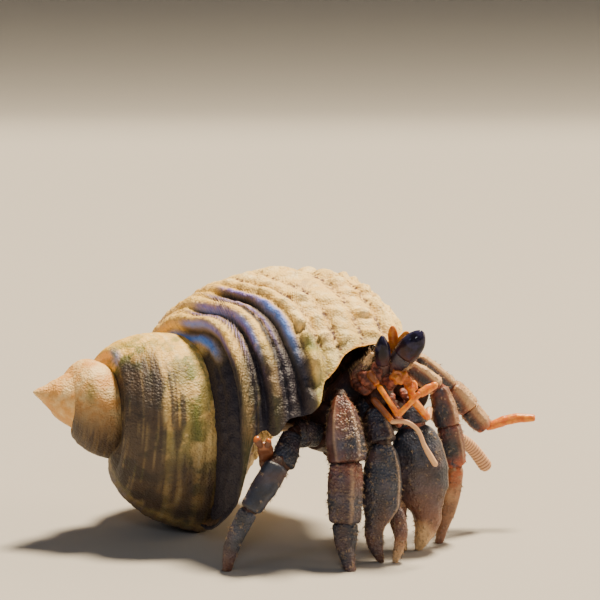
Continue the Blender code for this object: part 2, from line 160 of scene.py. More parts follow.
def make_piece(name, points, faces, material, replaces=(), values=None, uv=None):
    """Mesh from arrays in mm of the drawing frame: place = (point - CENTRE) x 0.001, none below the floor.
    Values become float attributes of its points, and the piece rides on the root body."""
    points = np.asarray(points, np.float64).reshape(-1, 3) - CENTRE
    points[:, 2] = np.maximum(points[:, 2], 0)
    faces = np.asarray(faces, np.int64)
    mesh = bpy.data.meshes.new(name)
    mesh.vertices.add(len(points))
    mesh.vertices.foreach_set("co", (points * MM).ravel())
    sides = faces.shape[1]
    mesh.loops.add(faces.size)
    mesh.loops.foreach_set("vertex_index", faces.ravel())
    mesh.polygons.add(len(faces))
    mesh.polygons.foreach_set("loop_start", np.arange(0, faces.size, sides))
    mesh.polygons.foreach_set("loop_total", np.full(len(faces), sides))
    mesh.update(calc_edges=True)
    mesh.validate()
    mesh.shade_smooth()
    for key, value in (values or {}).items():
        mesh.attributes.new(key, "FLOAT", "POINT").data.foreach_set("value", np.ravel(value))
    if uv is not None:
        layer = mesh.uv_layers.new(name=uv[0])
        layer.data.foreach_set("uv", np.asarray(uv[1])[faces.ravel()].ravel())
    piece = bpy.data.objects.new(name, mesh)
    bpy.context.scene.collection.objects.link(piece)
    mesh.materials.append(material)
    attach(piece, "root")
    if replaces:
        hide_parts(*replaces)
    print(f"{name}: {len(points)} points, {len(faces) * (sides - 2)} triangles")


def grid_faces(rows, columns, wrap=False, flip=False):
    """Four-sided faces of a rows x columns grid: each point, its next in the row, and the two below
    them.  Wrap closes each row into a ring."""
    i = np.arange(rows - 1)[:, None]
    j = np.arange(columns if wrap else columns - 1)[None]
    k = (j + 1) % columns
    corners = (i * columns + j, i * columns + k, (i + 1) * columns + k, (i + 1) * columns + j)
    quads = np.stack(np.broadcast_arrays(*corners), -1).reshape(-1, 4)
    return quads[:, ::-1] if flip else quads


print("a ring of 8 points by 3 rows has", len(grid_faces(3, 8, wrap=True)), "faces")

# %% [markdown]
# ## Steps, humps and noise
# Living things have few hard edges and no even lines.  Masks and heights are therefore built from
# smooth steps and humps, and broken up with a noise that is the same on each run.

# %% Steps, humps and noise
LATTICE_NUMBERS = 4096
LATTICE_PRIMES = np.array([73856093, 19349663, 83492791])


def step(x, low, high):
    """0 below low, 1 above high, and 3t^2 - 2t^3 between, t running from 0 to 1."""
    t = np.clip((np.asarray(x, float) - low) / (high - low), 0, 1)
    return t * t * (3 - 2 * t)


def hump(x, centre, half):
    """A smooth hump: 1 at the centre, 0 beyond half to either side."""
    return 1 - step(np.abs(np.asarray(x, float) - centre), 0, half)


def between(x, rise, fall):
    """Rises from 0 to 1 over the first pair of values and falls back over the second."""
    return step(x, *rise) * (1 - step(x, *fall))


def smooth_noise(points, size, seed):
    """Value noise: random numbers on a lattice of the given size, each weighted by 3f^2 - 2f^3 of the
    distance f from its neighbour, and added up."""
    rng = np.random.default_rng(seed)
    numbers = rng.random(LATTICE_NUMBERS)
    p = np.asarray(points, float) / size + 100.0
    cell = np.floor(p).astype(np.int64)
    f = p - cell
    f = f * f * (3 - 2 * f)
    total = 0.0
    for corner in np.ndindex(*(2,) * p.shape[-1]):
        c = np.array(corner)
        key = cell + c
        hashed = (key * LATTICE_PRIMES[:p.shape[-1]]).sum(-1) & (LATTICE_NUMBERS - 1)
        total = total + numbers[hashed] * np.prod(np.where(c == 1, f, 1 - f), axis=-1)
    return total


noise_sample = smooth_noise(np.random.default_rng(1).random((500, 3)) * 40, 1.0, 1)
print("noise runs from", round(noise_sample.min(), 2), "to", round(noise_sample.max(), 2))

# %% [markdown]
# ## The shell's growth
# A turban shell is a tube that turns round an axis and grows by the same factor every turn, so one
# profile and one formula place every point: size = growth to the power turn/360.  The ribs keep
# their place on the profile from the spire to the lip, so they are a height table over the profile
# angle, and beads and growth lines are heights over the turn angle.

# %% Shell sizes
TURN_GROWTH = 2.12
SPIRE_TIP = np.array((-31.5, -9.2, 20.0))
AXIS_SWING, AXIS_DIP = math.radians(16.8), math.radians(11.9)
PROFILE_ALONG, PROFILE_OUT = 39.9, 10.3
PROFILE_REAR, PROFILE_FORE, PROFILE_RADIUS = 21.9, 7.8, 14.0
SUTURE, SHOULDER = 175.309, 94.149
BASE = -math.degrees(math.asin(PROFILE_OUT / PROFILE_RADIUS))
LIP = ((179, 78), (SUTURE, 70), (163, 50), (153, 31), (148.5, 22), (147, 14), (145.8, 6), (143.5, 0),
       (140, -3), (136.5, -1.5), (134, -3), (131.5, -7), (128.5, -8.5), (125, -9.5), (121.5, -11),
       (119.3, -14), (118, -19), (115.5, -22), (112.5, -25), (110, -28.5), (106, -31.5), (101, -33.5),
       (95, -35), (89, -37), (80, -40.5), (70, -45), (60, -60), (40, -80), (0, -100), (BASE, -115))
SEAM_TURN = 70 - 360
PARIETAL_SWEEP = -185
AXIS = np.array([math.cos(AXIS_SWING) * math.cos(AXIS_DIP), math.sin(AXIS_SWING) * math.cos(AXIS_DIP),
                 -math.sin(AXIS_DIP)])
VIEW = np.array([0, math.cos(math.radians(8)), -math.sin(math.radians(8))])
FRONT = -(VIEW - (VIEW @ AXIS) * AXIS)
FRONT /= np.linalg.norm(FRONT)
TOP = -np.cross(AXIS, FRONT)
print("the shell's axis points along", np.round(AXIS, 2), "and its front along", np.round(FRONT, 2))

# %% [markdown]
# ## The smooth shell
# First comes the shell without its sculpture: an oval profile, set on the turning ray at the size that
# its turn angle gives, and ended at the lip.

# %% Smooth shell


def table(pairs, where):
    """Cubic curve through (angle, value) pairs, the slope at each taken from its neighbours."""
    pairs = np.array(sorted(pairs), float)
    x, y = pairs.T
    slope = np.gradient(y, x)
    where = np.asarray(where, float)
    k = np.clip(np.searchsorted(x, where) - 1, 0, len(x) - 2)
    w = x[k + 1] - x[k]
    t = (where - x[k]) / w
    return ((2 * t**3 - 3 * t**2 + 1) * y[k] + (t**3 - 2 * t**2 + t) * w * slope[k]
            + (3 * t**2 - 2 * t**3) * y[k + 1] + (t**3 - t**2) * w * slope[k + 1])


def profile(psi):
    """Profile point: along = ALONG + reach cos psi, out = OUT + RADIUS sin psi."""
    psi = np.radians(psi)
    reach = np.where(np.cos(psi) > 0, PROFILE_FORE, PROFILE_REAR)
    return PROFILE_ALONG + reach * np.cos(psi), PROFILE_OUT + PROFILE_RADIUS * np.sin(psi)


def on_turn(turn, along, out):
    """Tip + growth^(turn/360) (along x axis + out x ray), the ray turning with the turn angle."""
    grown = TURN_GROWTH ** (np.asarray(turn, float) / 360)[..., None]
    angle = np.radians(np.asarray(turn, float))[..., None]
    ray = np.cos(angle) * FRONT - np.sin(angle) * TOP
    return SPIRE_TIP + grown * (along[..., None] * AXIS + out[..., None] * ray)


def lip_turn(psi):
    """Turn angle where the shell ends, for a profile angle."""
    return table(LIP, psi)


print("lip turn angle at profile 90:", round(float(lip_turn(np.array(90.0))), 1))

# %% [markdown]
# ## Ribs, beads and breaks
# The crab's shell has strong ribs at its shoulder, rows of beads on its rubbed top, knobs beside the
# mouth and two healed breaks.  Bump in the material would show these only inside the outline.  As
# heights of the mesh they also notch the outline and cast their own shade.

# %% Ribs, grooves and knobs
# each rib's crest: profile angle in degrees, height in mm, and the power its flanks fall with
CRESTS = np.array([(169.5, -1.4, 2), (163.5, -1.2, 2), (150.3, 0.5, 2.2), (145.9, -0.25, 2),
                   (138.2, 0.5, 2.2), (132.6, -0.25, 2), (126, 0.05, 2), (120.6, 0.25, 2.2),
                   (114.1, 0.1, 2.3), (106.3, 0.05, 2.4), (97, 0, 2.5), (88.4, -0.05, 2.5),
                   (79.8, -0.1, 3), (71.5, -0.1, 3), (63.5, -0.1, 3), (55.5, -0.1, 3), (47.5, -0.1, 3),
                   (39.5, -0.1, 3), (31.5, -0.1, 3), (23.5, -0.1, 3), (15.5, -0.1, 3), (7.5, -0.1, 3),
                   (-1, -0.08, 3), (-10, -0.06, 3), (-20, -0.04, 3), (-31, -0.02, 3), (-42, 0, 3)])
# the groove on the spire side of each rib, and one below the last: profile angle and height
GROOVES = np.array([(174, -1.5), (166.5, -1.45), (157, -1.5), (147.3, -0.5), (143.4, -1.1),
                    (134.4, -0.6), (129.3, -1.3), (123.6, -0.4), (117.3, -0.55), (110.8, -0.6),
                    (101.3, -0.62), (93, -0.62), (84.2, -0.6), (75.7, -0.6), (67.5, -0.58),
                    (59.5, -0.55), (51.5, -0.52), (43.5, -0.5), (35.5, -0.47), (27.5, -0.44),
                    (19.5, -0.4), (11.5, -0.36), (3.2, -0.32), (-5.5, -0.28), (-15, -0.22),
                    (-25.5, -0.15), (-36.5, -0.06), (-47, 0)])

# knobs beside the mouth: profile and turn angle, half-widths in degrees, height in mm
KNOBS = ((120.4, -25.5, 5.4, 5.6, 2.2), (121.8, -14.0, 4.6, 5.4, 1.6))

# how far the ribs drift toward the spire, in profile degrees, for turn angles
RIB_DRIFT = ((-290, 0), (-200, 13.5), (-130, 14), (-90, 14), (-73, 13.5), (-66, 11), (-60, 7),
             (-55, 4.6), (-51, 3), (-45, 1), (-38, -0.2), (-32, -1.2), (-25, -2.2), (-15, -3.2),
             (0, -3.5), (60, -3.5), (90, -3.5))
print("the ribs stand from", GROOVES[:, 1].min(), "to", CRESTS[:, 1].max(), "mm;", len(CRESTS), "of them")

# %% [markdown]
# ## Heights of the sculpture
# A rib's flanks fall from its crest to the grooves beside it by a power of the distance, so one number
# makes it round or sharp.  Noise along the rib swells it, and a wave cuts it into beads.  Near the lip
# all of it fades, because the newest shell is thin and smooth.

# %% Ribs over the profile


def rib_height(psi):
    """Crest minus (crest - groove) x^p, x running from 0 on the crest to 1 in the groove beside it;
    also returns x, negative on the fore side, and which rib it is."""
    grooves, crests = GROOVES[::-1], CRESTS[::-1]
    k = np.clip(np.searchsorted(grooves[:, 0], psi) - 1, 0, len(crests) - 1)
    centre, top, power = crests[k].T
    low, high = grooves[k], grooves[k + 1]
    above = psi > centre
    edge = np.where(above, high[:, 0], low[:, 0])
    floor = np.where(above, high[:, 1], low[:, 1])
    x = np.clip((psi - centre) / (edge - centre), 0, 1)
    return top - (top - floor) * x ** power, np.where(above, x, -x), k


def rib_place(psi, turn):
    """Profile angle less the ribs' drift, which is full above 135 degrees and nothing below 95."""
    drift = table(RIB_DRIFT, np.clip(turn, -290, 90)) * step(psi, 95, 135)
    return psi - drift * step(turn, -292, -288)


def crack_lines(psi, turn):
    """1 along the two healed breaks, each a wandering line across the ribs."""
    wander = 1.2 * np.sin(psi * 0.9) + 0.7 * np.sin(psi * 2.3 + 1)
    last = hump(turn + 0.38 * psi + wander, 7.8, 1.1) * step(psi, 104, 108) * (1 - step(psi, 122.5, 124.5))
    before = hump(turn - 0.5 * psi + 2 * wander, -446, 2.2) * step(psi, 96, 100) * (1 - step(psi, 128, 136))
    return np.maximum(last, before)


flank = rib_height(np.array([138.2, 140.8, 143.4]))[0]
print("crest, flank and groove of the shoulder's rib:", np.round(flank, 2).tolist(), "mm")

# %% Sculpture of the shell


def shell_height(psi, turn):
    """Height of the sculpture in mm over the smooth shell, for arrays of profile and turn angles."""
    rib, x, k = (a.reshape(psi.shape) for a in rib_height(rib_place(psi, turn).ravel()))
    age = turn - lip_turn(np.clip(psi, BASE, 179))
    where = np.stack([psi * 0.33, turn * 0.38], -1)
    rough = smooth_noise(where, 0.8, 3) - 0.5
    lumps = smooth_noise(where, 3.5, 5) - 0.5
    nodes = smooth_noise(np.stack([k * 7.3 + 0.25 * x, turn * 0.38], -1), 1.05, 8)
    lines = smooth_noise(np.stack([age * 0.38, psi * 0.05], -1), 0.5, 9) - 0.5
    on_crest = 1 - x ** 2
    low = 1 - step(psi, 122, 127)
    beads = np.sin(turn * (1.15 + 0.06 * (k % 5)) + 5 * np.sin(turn * 0.031 + k * 2.4) + k * 2.4)
    last = step(turn, -330, -285)
    rib = rib * (1 - 0.6 * (1 - low) * (1 - step(turn, -90, -62)) * step(turn, -330, -290))
    height = rib * (1 + 0.4 * lumps) + 0.25 * lumps + 0.04 * lines
    height += last * on_crest * (0.75 * (step(nodes, 0.3, 0.8) - 0.45) * (0.12 + 0.88 * low) + 0.06 * beads)
    height += 0.2 * rough * (0.35 + 0.65 * last)
    height *= 1 - (0.75 - 0.2 * step(psi, 126, 140)) * step(age, -7, 0)
    for at_psi, at_turn, wide, long, high in KNOBS:
        height += high * hump(np.hypot((psi - at_psi) / wide, (turn - at_turn) / long), 0, 1)
    height -= 0.3 * crack_lines(psi, turn)
    return height, x, k, lines


def shell_normals(points):
    """Outward normals of the shell's grid: the cross product of its turn and profile directions."""
    n = np.cross(np.gradient(points, axis=1), np.gradient(points, axis=0))
    return n / np.maximum(np.linalg.norm(n, axis=-1), 1e-12)[..., None]


shoulder = shell_height(np.full(90, 138.2), np.linspace(-60, 30, 90))[0]
print("the shoulder's rib runs from", round(shoulder.min(), 2), "to", round(shoulder.max(), 2), "mm high")

# %% [markdown]
# ## Where the shell's colours lie
# Pigment sits in the grooves, deepened by painted shade toward the front; wear and a painted highlight
# lie on the crests; mother of pearl and a painted reflection of the sky on the rubbed flanks; algae in the
# shade; and soil with painted shade on the undersides and the front.  All of that follows the ribs and
# the turn, so the masks are worked out from the same two angles as the shape, and kept on the mesh as
# attributes.

# %% Pigment, mother of pearl and painted light
# The numbers beside a turn angle or a profile angle are degrees; the others are shares of a colour.

# where the high ribs are pale: centre in profile degrees, half-width, soft edge
PALE_BANDS = ((171.2, 9.5, 1.6), (149.9, 2.4, 1.2), (145.9, 0.5, 0.7), (138.4, 2.7, 1.2), (132.6, 0.6, 0.7),
              (125.2, 1.6, 0.9))
# where lilac lies on the high ribs: rubbed mother of pearl, partly painted violet shade and a painted
# reflection of the sky; centre and half-width
LILAC_BANDS = ((153.6, 2.4), (141.2, 2.4), (132.6, 1.4), (145.9, 1.2), (126.4, 2.2))


def band(x, centre, half, soft):
    """1 within half of the centre, 0 beyond the soft edge."""
    return 1 - step(np.abs(np.asarray(x, float) - centre), half - soft / 2, half + soft / 2)


def pigment(psi, turn, x, at, body, before, high, spotty, fine):
    """Dark pigment left in the grooves, with painted shade toward the front, rust in thin lines between
    the lower ribs, and lilac and blue: mother of pearl where the coat is rubbed, partly a painted
    reflection of the sky."""
    # the pigment is strong from the shoulder round to the front and weak on the top: wear on the rubbed
    # top, with painted light there and painted shade toward the front
    strong = 0.08 + 0.92 * step(turn, -86, -69) + 0.5 * (1 - step(turn, -140, -110))
    wander = at + 1.4 * (spotty - 0.5) + 0.8 * (fine - 0.5)
    pale = [band(wander, *where) for where in PALE_BANDS]
    pale[0] = pale[0] * (1 - step(turn, -56, -42))
    pale[4], pale[5] = (p * (1 - 0.9 * step(turn, -48, -30)) for p in pale[4:])
    pale[3] = np.maximum(pale[3], band(wander, 136.5, 1.0, 1.0))
    bare = np.max(pale, axis=0)
    line = (1 - high) * step(np.abs(x), 0.6, 0.88)
    rust = body * line * (0.5 + 0.5 * step(spotty + fine, 0.6, 1.1))
    lilac = sum(hump(at, centre, half) for centre, half in LILAC_BANDS)
    lilac = body * high * strong * lilac * (1 - step(turn, -30, 0))
    # blue lies under the seam, in the shoulder's grooves, and on the turn before: mother of pearl, partly a
    # painted reflection of the sky; the band at 127 degrees is painted light on a flank that lies in shade
    blue = hump(at, 162.5, 6) * between(turn, (-105, -85), (-44, -30)) * (0.8 + 0.6 * spotty)
    blue = blue + 0.9 * hump(at, 127, 3) * between(turn, (-62, -50), (-24, -10))
    blue = blue + 0.7 * hump(at, 140, 1.8) * between(turn, (-58, -46), (-34, -22))
    blue = blue + 0.8 * (hump(at, 154.2, 2.6) + hump(at, 142.6, 1.6)) * hump(turn, -64, 22)
    blue = body * blue + 0.8 * before * hump(psi, 158, 12) * hump(turn, -424, 24)
    # where blue and lilac lie, little pigment is left: worn mother of pearl, partly painted sky reflection
    pigment_left = 1 - 0.85 * np.clip(blue, 0, 1) - 0.6 * np.clip(lilac, 0, 1) * (1 - step(turn, -48, -25))
    # painted shade: the lower ribs' grooves darken toward the front
    lower = line * step(turn, -42, 4) * 0.9
    dark = body * (high * (1 - bare) * strong * np.clip(pigment_left, 0, 1) + lower)
    return np.maximum(dark, crack_lines(psi, turn) * 0.6), rust, lilac, blue


print("pale ribs at", [where[0] for where in PALE_BANDS], "degrees of the profile")

# %% Stains, painted shade and algae


def stains_and_shade(psi, turn, at, body, before, high, streak):
    """Brown: the horny coat of the turn before; painted shade on the undersides, on the lower front of the
    turn before and on the second turn's front; and soil, partly painted shade, on the ribs that face
    forward."""
    # the horny coat is whole above the turn's shoulder and streaked below
    brown = step(psi, 117, 123) * (0.8 + 0.5 * streak) * step(turn, -425, -395)
    streaked = step(turn, -408, -384) * (0.3 + 0.6 * step(streak, 0.36, 0.66)) * step(psi, 97, 107)
    brown = np.maximum(brown, streaked)
    # painted shade, with brown streaks, on the lower front of the turn before
    brown = before * np.maximum(brown, 0.95 * step(turn, -364, -328) * (0.85 + 0.3 * streak))
    # painted shade on the undersides, and brown with painted shade on the front of the second turn toward
    # its seam
    brown = np.maximum(brown, 0.9 * hump(turn, -268, 72))
    brown = np.maximum(brown, 0.5 * hump(turn, -698, 58) + (0.85 + 0.3 * streak) * hump(turn, -640, 88))
    # soil on the forward-facing ribs and on the front of the turn before, partly painted shade
    soil_and_shade = 0.92 * body * high * step(turn, -37, -23) * (0.85 + 0.3 * streak)
    soil_and_shade = soil_and_shade * (1 - 0.12 * hump(at, 149.9, 4))
    soil_and_shade = soil_and_shade + 0.8 * before * step(turn, -400, -330) * streak
    return np.maximum(brown, soil_and_shade)


def algae(psi, turn, body, before, patches):
    """Green in patches on the turn before and on the shell's front, and beside the knobs."""
    green = before * step(turn, -470, -400) * (0.6 + 0.4 * step(psi, 118, 130) + 0.4 * hump(psi, 99, 7))
    green = green + body * (0.8 * step(turn, -42, 4) * step(psi, 112, 118) + 0.45 * step(turn, -60, -20))
    green = green * patches * (1 - 0.8 * body * hump(psi, 121, 6) * hump(turn, -23, 7))
    green = np.maximum(green, 0.7 * hump(turn, -735, 26) * hump(psi, 125, 14))
    beside_knobs = hump(psi, 119.5, 6) * hump(turn, -32, 8) + 0.8 * hump(psi, 121, 6) * hump(turn, -13, 7)
    return np.maximum(green, body * beside_knobs)


green_sample = algae(120.0, np.linspace(-470, 60, 100), 1.0, 0.0, 1.0)
print("algae on the last turn, most:", round(green_sample.max(), 2))

# %% Colour masks of the shell
PEACH_FADES = (-720, -650)


def shell_values(psi, turn, x, lines, points):
    """Colour masks over the shell, each a product of steps and humps of the rib's place and the turn
    angle, broken up by noise: what is pigment, what wears, what grows on it, and where light and shade
    are painted."""
    spotty = smooth_noise(points, 2.2, 21)
    fine = smooth_noise(points, 0.7, 22)
    streak = smooth_noise(np.stack([psi * 0.6, turn * 0.06], -1), 1.0, 23)
    patches = step(smooth_noise(points, 3.0, 31) + 0.4 * (fine - 0.5), 0.42, 0.62)
    at = rib_place(psi, turn)
    age = turn - lip_turn(np.clip(psi, BASE, 179))
    body = step(turn, -300, -270)
    before = step(turn, -690, -640) * (1 - body)
    high = step(at, 122, 125)
    dark, rust, lilac, blue = pigment(psi, turn, x, at, body, before, high, spotty, fine)
    brown = stains_and_shade(psi, turn, at, body, before, high, streak)
    green = algae(psi, turn, body, before, patches)
    crest = hump(np.abs(x), 0.0, 0.75)
    yellow = body * (0.3 + 0.5 * high) * (0.6 + 0.5 * spotty) * (1 - 0.8 * high * step(turn, -42, -18))
    yellow = yellow + before * (0.5 + 0.5 * spotty) * (1 - 0.7 * step(turn, -420, -380))
    rim = body * (1 - step(-age, 0.3, 1.0)) * (1 - step(psi, 112, 122)) * step(psi, 70, 80)
    # pale crests: wear, and a painted highlight on them
    worn_and_highlight = step(fine, 0.35, 0.7) * crest * (1 - 0.5 * high)
    peach = 1 - step(turn, *PEACH_FADES)
    values = {"dark": dark, "rust": rust, "lilac": lilac, "blue": blue, "brown": brown, "green": green,
              "yellow": yellow, "peach": peach, "rim": rim, "growth": step(-lines, 0.2, 0.4), "worn_and_highlight": worn_and_highlight}
    return {key: np.clip(value, 0, 1) for key, value in values.items()}


print("the spire's peach fades out between the turn angles", PEACH_FADES)

# %% [markdown]
# ## The last turn
# The last and largest turn ends at the lip, which waves with the ribs.  Its grid runs from the seam
# to the lip along every rib, so no face crosses the lip, and its columns crowd toward the front.

# %% Last turn of the shell
ROWS, COLUMNS = 236, 392


def spaced_angles(high, low, count):
    """Profile angles spaced by even steps of the profile's own length."""
    fine = np.linspace(high, low, 4000)
    along, out = profile(fine)
    s = np.concatenate([[0], np.cumsum(np.hypot(np.diff(along), np.diff(out)))])
    return np.interp(np.linspace(0, s[-1], count), s, fine)


def start_turn(psi):
    """Where the last turn's outside starts: at the seam above the shoulder, at the inner lip below."""
    t = np.clip((SHOULDER - psi) / (SHOULDER - BASE), 0, 1)
    return SEAM_TURN + PARIETAL_SWEEP * t


def outside(psi, turn):
    """Smooth shell + (sculpture x its strength + swell) x size x outward, and the colour masks, for
    grids of angles.  The sculpture is weak on the worn spire; swell rounds the early turns."""
    smooth = on_turn(turn, *profile(psi))
    height, x, _, lines = shell_height(psi, turn)
    grown = TURN_GROWTH ** (turn / 360)
    weak = 0.05 + 0.13 * step(turn, -690, -620) + 0.82 * step(turn, -300, -170)
    swell = 3.5 * hump(turn, -810, 180) * hump(psi, 118, 40)
    swell = swell - 1.9 * step(psi, 156.5, 161) * step(turn, -680, -600) * (1 - step(turn, -320, -290))
    height = (height * weak + swell) * grown * step(psi, BASE, BASE + 14)
    points = smooth + height[..., None] * shell_normals(smooth)
    return points, shell_values(psi, turn, x, lines, points / np.maximum(grown, 0.25)[..., None])


psi_rows = spaced_angles(179.0, BASE, ROWS)
ahead = np.linspace(0, 1, COLUMNS)
pace = 1 + 0.9 * step(ahead, 0.5, 0.62)
ahead = np.concatenate([[0], np.cumsum((pace[1:] + pace[:-1]) / 2)])
ahead = 1 - (ahead / ahead[-1])[::-1]
spots = np.cumsum(1 / np.interp(np.linspace(0, 1, COLUMNS), ahead, pace))
ahead = (spots - spots[0]) / (spots[-1] - spots[0])
body_psi = np.broadcast_to(psi_rows[:, None], (ROWS, COLUMNS))
begin, end = start_turn(psi_rows)[:, None], lip_turn(psi_rows)[:, None]
body_turn = begin + (end - begin) * ahead[None]
body_points, body_values = outside(body_psi, body_turn)
print("shell from", np.round(body_points.min((0, 1)), 1), "to", np.round(body_points.max((0, 1)), 1), "mm")

# %% [markdown]
# ## The shell's stuff
# A worn turban shell is chalk-cream lime with horny brown pigment in its grooves, blue-white mother
# of pearl where the outer coat is rubbed off, a green film of algae in the shade and a peach spire.  Over
# that lie painted light and shade: a highlight on the crests, a reflection of the sky in the blue and
# lilac, and shade in the brown and the groove pigment toward the front and underneath.
# The masks that come with the mesh say where each lies; noise in real sizes breaks their edges.

# %% Shell material
# Lime laid down in growth layers and rubbed by years of dragging: a chalky face with one broad soft
# highlight, and the dark horny coat left only where nothing rubs.  The lime's own grain is about
# 0.02 mm, too fine to show, so it is drawn at 0.3 and 0.9 mm.
# Each layer: colour, mask on the mesh, share, pattern size in mm, edges of its smooth step, kind.
SHELL_LAYERS = (
    ("#E2B868", ALL, 0.8, 5.0, (0.35, 0.65), CLOUDS),
    ("#E3B23C", "yellow", 0.95, None, (0, 1), CLOUDS),
    # pale crests: wear, and a painted highlight on them
    ("#FAE3A8", "worn_and_highlight", 0.7, None, (0, 1), CLOUDS),
    ("#A98049", ALL, 0.55, 0.35, (0.55, 0.72), CLOUDS),
    ("#9A7646", "growth", 0.45, None, (0, 1), CLOUDS),
    ("#D89A4C", "peach", 0.95, None, (0, 1), CLOUDS),
    ("#F2D394", "peach", 0.85, 2.6, (0.4, 0.62), CLOUDS),
    # lilac and blue: mother of pearl, partly painted violet shade and a painted reflection of the sky
    ("#7A6CD8", "lilac", 0.95, 0.9, (0.15, 0.5), CLOUDS),
    ("#5C90F0", "blue", 1.0, 0.9, (0.1, 0.45), CLOUDS),
    ("#626B1A", "green", 0.95, 0.9, (0.15, 0.45), CLOUDS),
    # brown: horny coat and soil, with painted shade on the undersides and the fronts
    ("#2A1C1C", "brown", 0.96, 0.9, (0.0, 0.35), CLOUDS),
    ("#4E2414", "rust", 1.0, 0.6, (0.36, 0.62), DOTS),
    # dark: groove pigment, with painted shade toward the front and painted light on the top
    ("#150C1E", "dark", 0.97, 0.6, (0.0, 0.4), CLOUDS),
    ("#D59A35", "rim", 1.0, None, (0, 1), CLOUDS))
lime_shell = finish("lime_shell_worn", 0.62, "#F0D288", SHELL_LAYERS,
                    ((0.1, ALL, 0.9, CLOUDS), (0.05, ALL, 0.3, DOTS)), IOR=1.53)
make_piece("shell_last_turn", body_points, grid_faces(ROWS, COLUMNS, flip=True), lime_shell,
           ["shell"], body_values)

# %% [markdown]
# ## The spire
# The same formula, carried back from the seam, gives the earlier turns, each less than half as large.
# Their ribs are worn nearly flat, and the first turns are rubbed to a plain cone.

# %% Earlier turns of the shell, up to the worn tip
TURNS_FROM_TIP = 4.75
SPIRE_STEPS = 900
CONE_SLOPE = 0.8
HIDDEN_BELOW = 62       # under this profile angle a turn lies hidden within the next
spire_rows = psi_rows[psi_rows > HIDDEN_BELOW][::2]
first_turn = SEAM_TURN - 360 * (TURNS_FROM_TIP - 1)
spire_steps = np.linspace(first_turn, SEAM_TURN + 4, SPIRE_STEPS)
spire_psi, spire_turn = np.broadcast_arrays(spire_rows[:, None], spire_steps[None])
spire_points, spire_values = outside(spire_psi, spire_turn)
# the tip is rubbed down to a smooth cone, so the seams of its first turns are filled
lengths = (spire_points - SPIRE_TIP) @ AXIS
across = spire_points - SPIRE_TIP - lengths[..., None] * AXIS
radius = np.linalg.norm(across, axis=-1)
fill = 0.95 * (1 - step(spire_turn, -1060, -940))
wanted = np.maximum(radius, lengths * CONE_SLOPE)
spire_points = spire_points + (fill * (wanted - radius) / np.maximum(radius, 1e-6))[..., None] * across
make_piece("shell_spire", spire_points, grid_faces(len(spire_rows), SPIRE_STEPS, flip=True), lime_shell,
           ["shell"], spire_values)

# %% [markdown]
# ## Tubes
# A limb, a feeler or an eye is a tube: a path through a few joints, and a width and a depth along it.
# Blender's curve objects could be bevelled to this, but every ring here may be squared, flattened and
# roughened, so the grid of points is worked out directly.  The first tube made is the shell's tip.

# %% Tubes along a path
END_CROWDING = 0.6      # how much the rings crowd toward a tube's ends, from 0 to 1


def along_path(path, t):
    """Point at t (0 to 1) on a cubic curve through the path's points, spaced by their distances, with
    the slope at each taken from its neighbours."""
    path = np.asarray(path, float)
    gaps = np.linalg.norm(np.diff(path, axis=0), axis=1)
    s = np.concatenate([[0], np.cumsum(gaps)]) / gaps.sum()
    if len(path) == 2:
        return path[0] + (path[1] - path[0]) * np.asarray(t)[..., None]
    slope = np.gradient(path, s, axis=0)
    k = np.clip(np.searchsorted(s, t) - 1, 0, len(s) - 2)
    w = (s[k + 1] - s[k])[..., None]
    x = (np.asarray(t) - s[k])[..., None] / w
    return ((2 * x**3 - 3 * x**2 + 1) * path[k] + (x**3 - 2 * x**2 + x) * w * slope[k]
            + (3 * x**2 - 2 * x**3) * path[k + 1] + (x**3 - x**2) * w * slope[k + 1])


def tube(path, wide, deep, side=(0, -1, 0), rings=64, sides=56, cap=(0.16, 0.16), box=2.4, reach=0.0,
         blunt=2.0):
    """Centre line plus wide x cos and deep x sin of a squared circle, rounded off over cap at each end.
    Returns points, t and angle on a rings x sides grid whose first and last rings are poles, and each
    ring's heading and centre."""
    path = np.asarray(path, float)
    if reach:
        path = path.copy()
        path[0] -= reach * (path[1] - path[0]) / np.linalg.norm(path[1] - path[0])
        path[-1] += reach * (path[-1] - path[-2]) / np.linalg.norm(path[-1] - path[-2])
    t = 0.5 - 0.5 * np.cos(np.linspace(0, math.pi, rings))
    t = END_CROWDING * t + (1 - END_CROWDING) * np.linspace(0, 1, rings)
    centre = along_path(path, t)
    heading = along_path(path, np.minimum(t + 1e-3, 1)) - along_path(path, np.maximum(t - 1e-3, 0))
    heading /= np.linalg.norm(heading, axis=1)[:, None]
    side = np.asarray(side, float)
    toward = side - (heading @ side)[:, None] * heading
    toward /= np.linalg.norm(toward, axis=1)[:, None]
    across = np.cross(heading, toward)
    end = np.clip(np.minimum(t / cap[0], (1 - t) / cap[1]), 0, 1)
    round_off = (1 - (1 - end) ** blunt) ** (1 / blunt)
    w = np.interp(t, np.linspace(0, 1, len(wide)), wide) * round_off
    d = np.interp(t, np.linspace(0, 1, len(deep)), deep) * round_off
    angle = np.arange(sides) * 360 / sides
    c, s = np.cos(np.radians(angle)), np.sin(np.radians(angle))
    c, s = np.sign(c) * np.abs(c) ** (2 / box), np.sign(s) * np.abs(s) ** (2 / box)
    points = (centre[:, None] + w[:, None, None] * c[None, :, None] * across[:, None]
              + d[:, None, None] * s[None, :, None] * toward[:, None])
    return points, *np.broadcast_arrays(t[:, None], angle[None]), heading, centre


on_bend = along_path(((0, 0, 0), (4, 0, 0), (4, 4, 0)), np.array([0.25, 0.5]))
print("a quarter and half of the way round a bend:", np.round(on_bend, 2).tolist())

# %% Joined tubes and the shell's tip


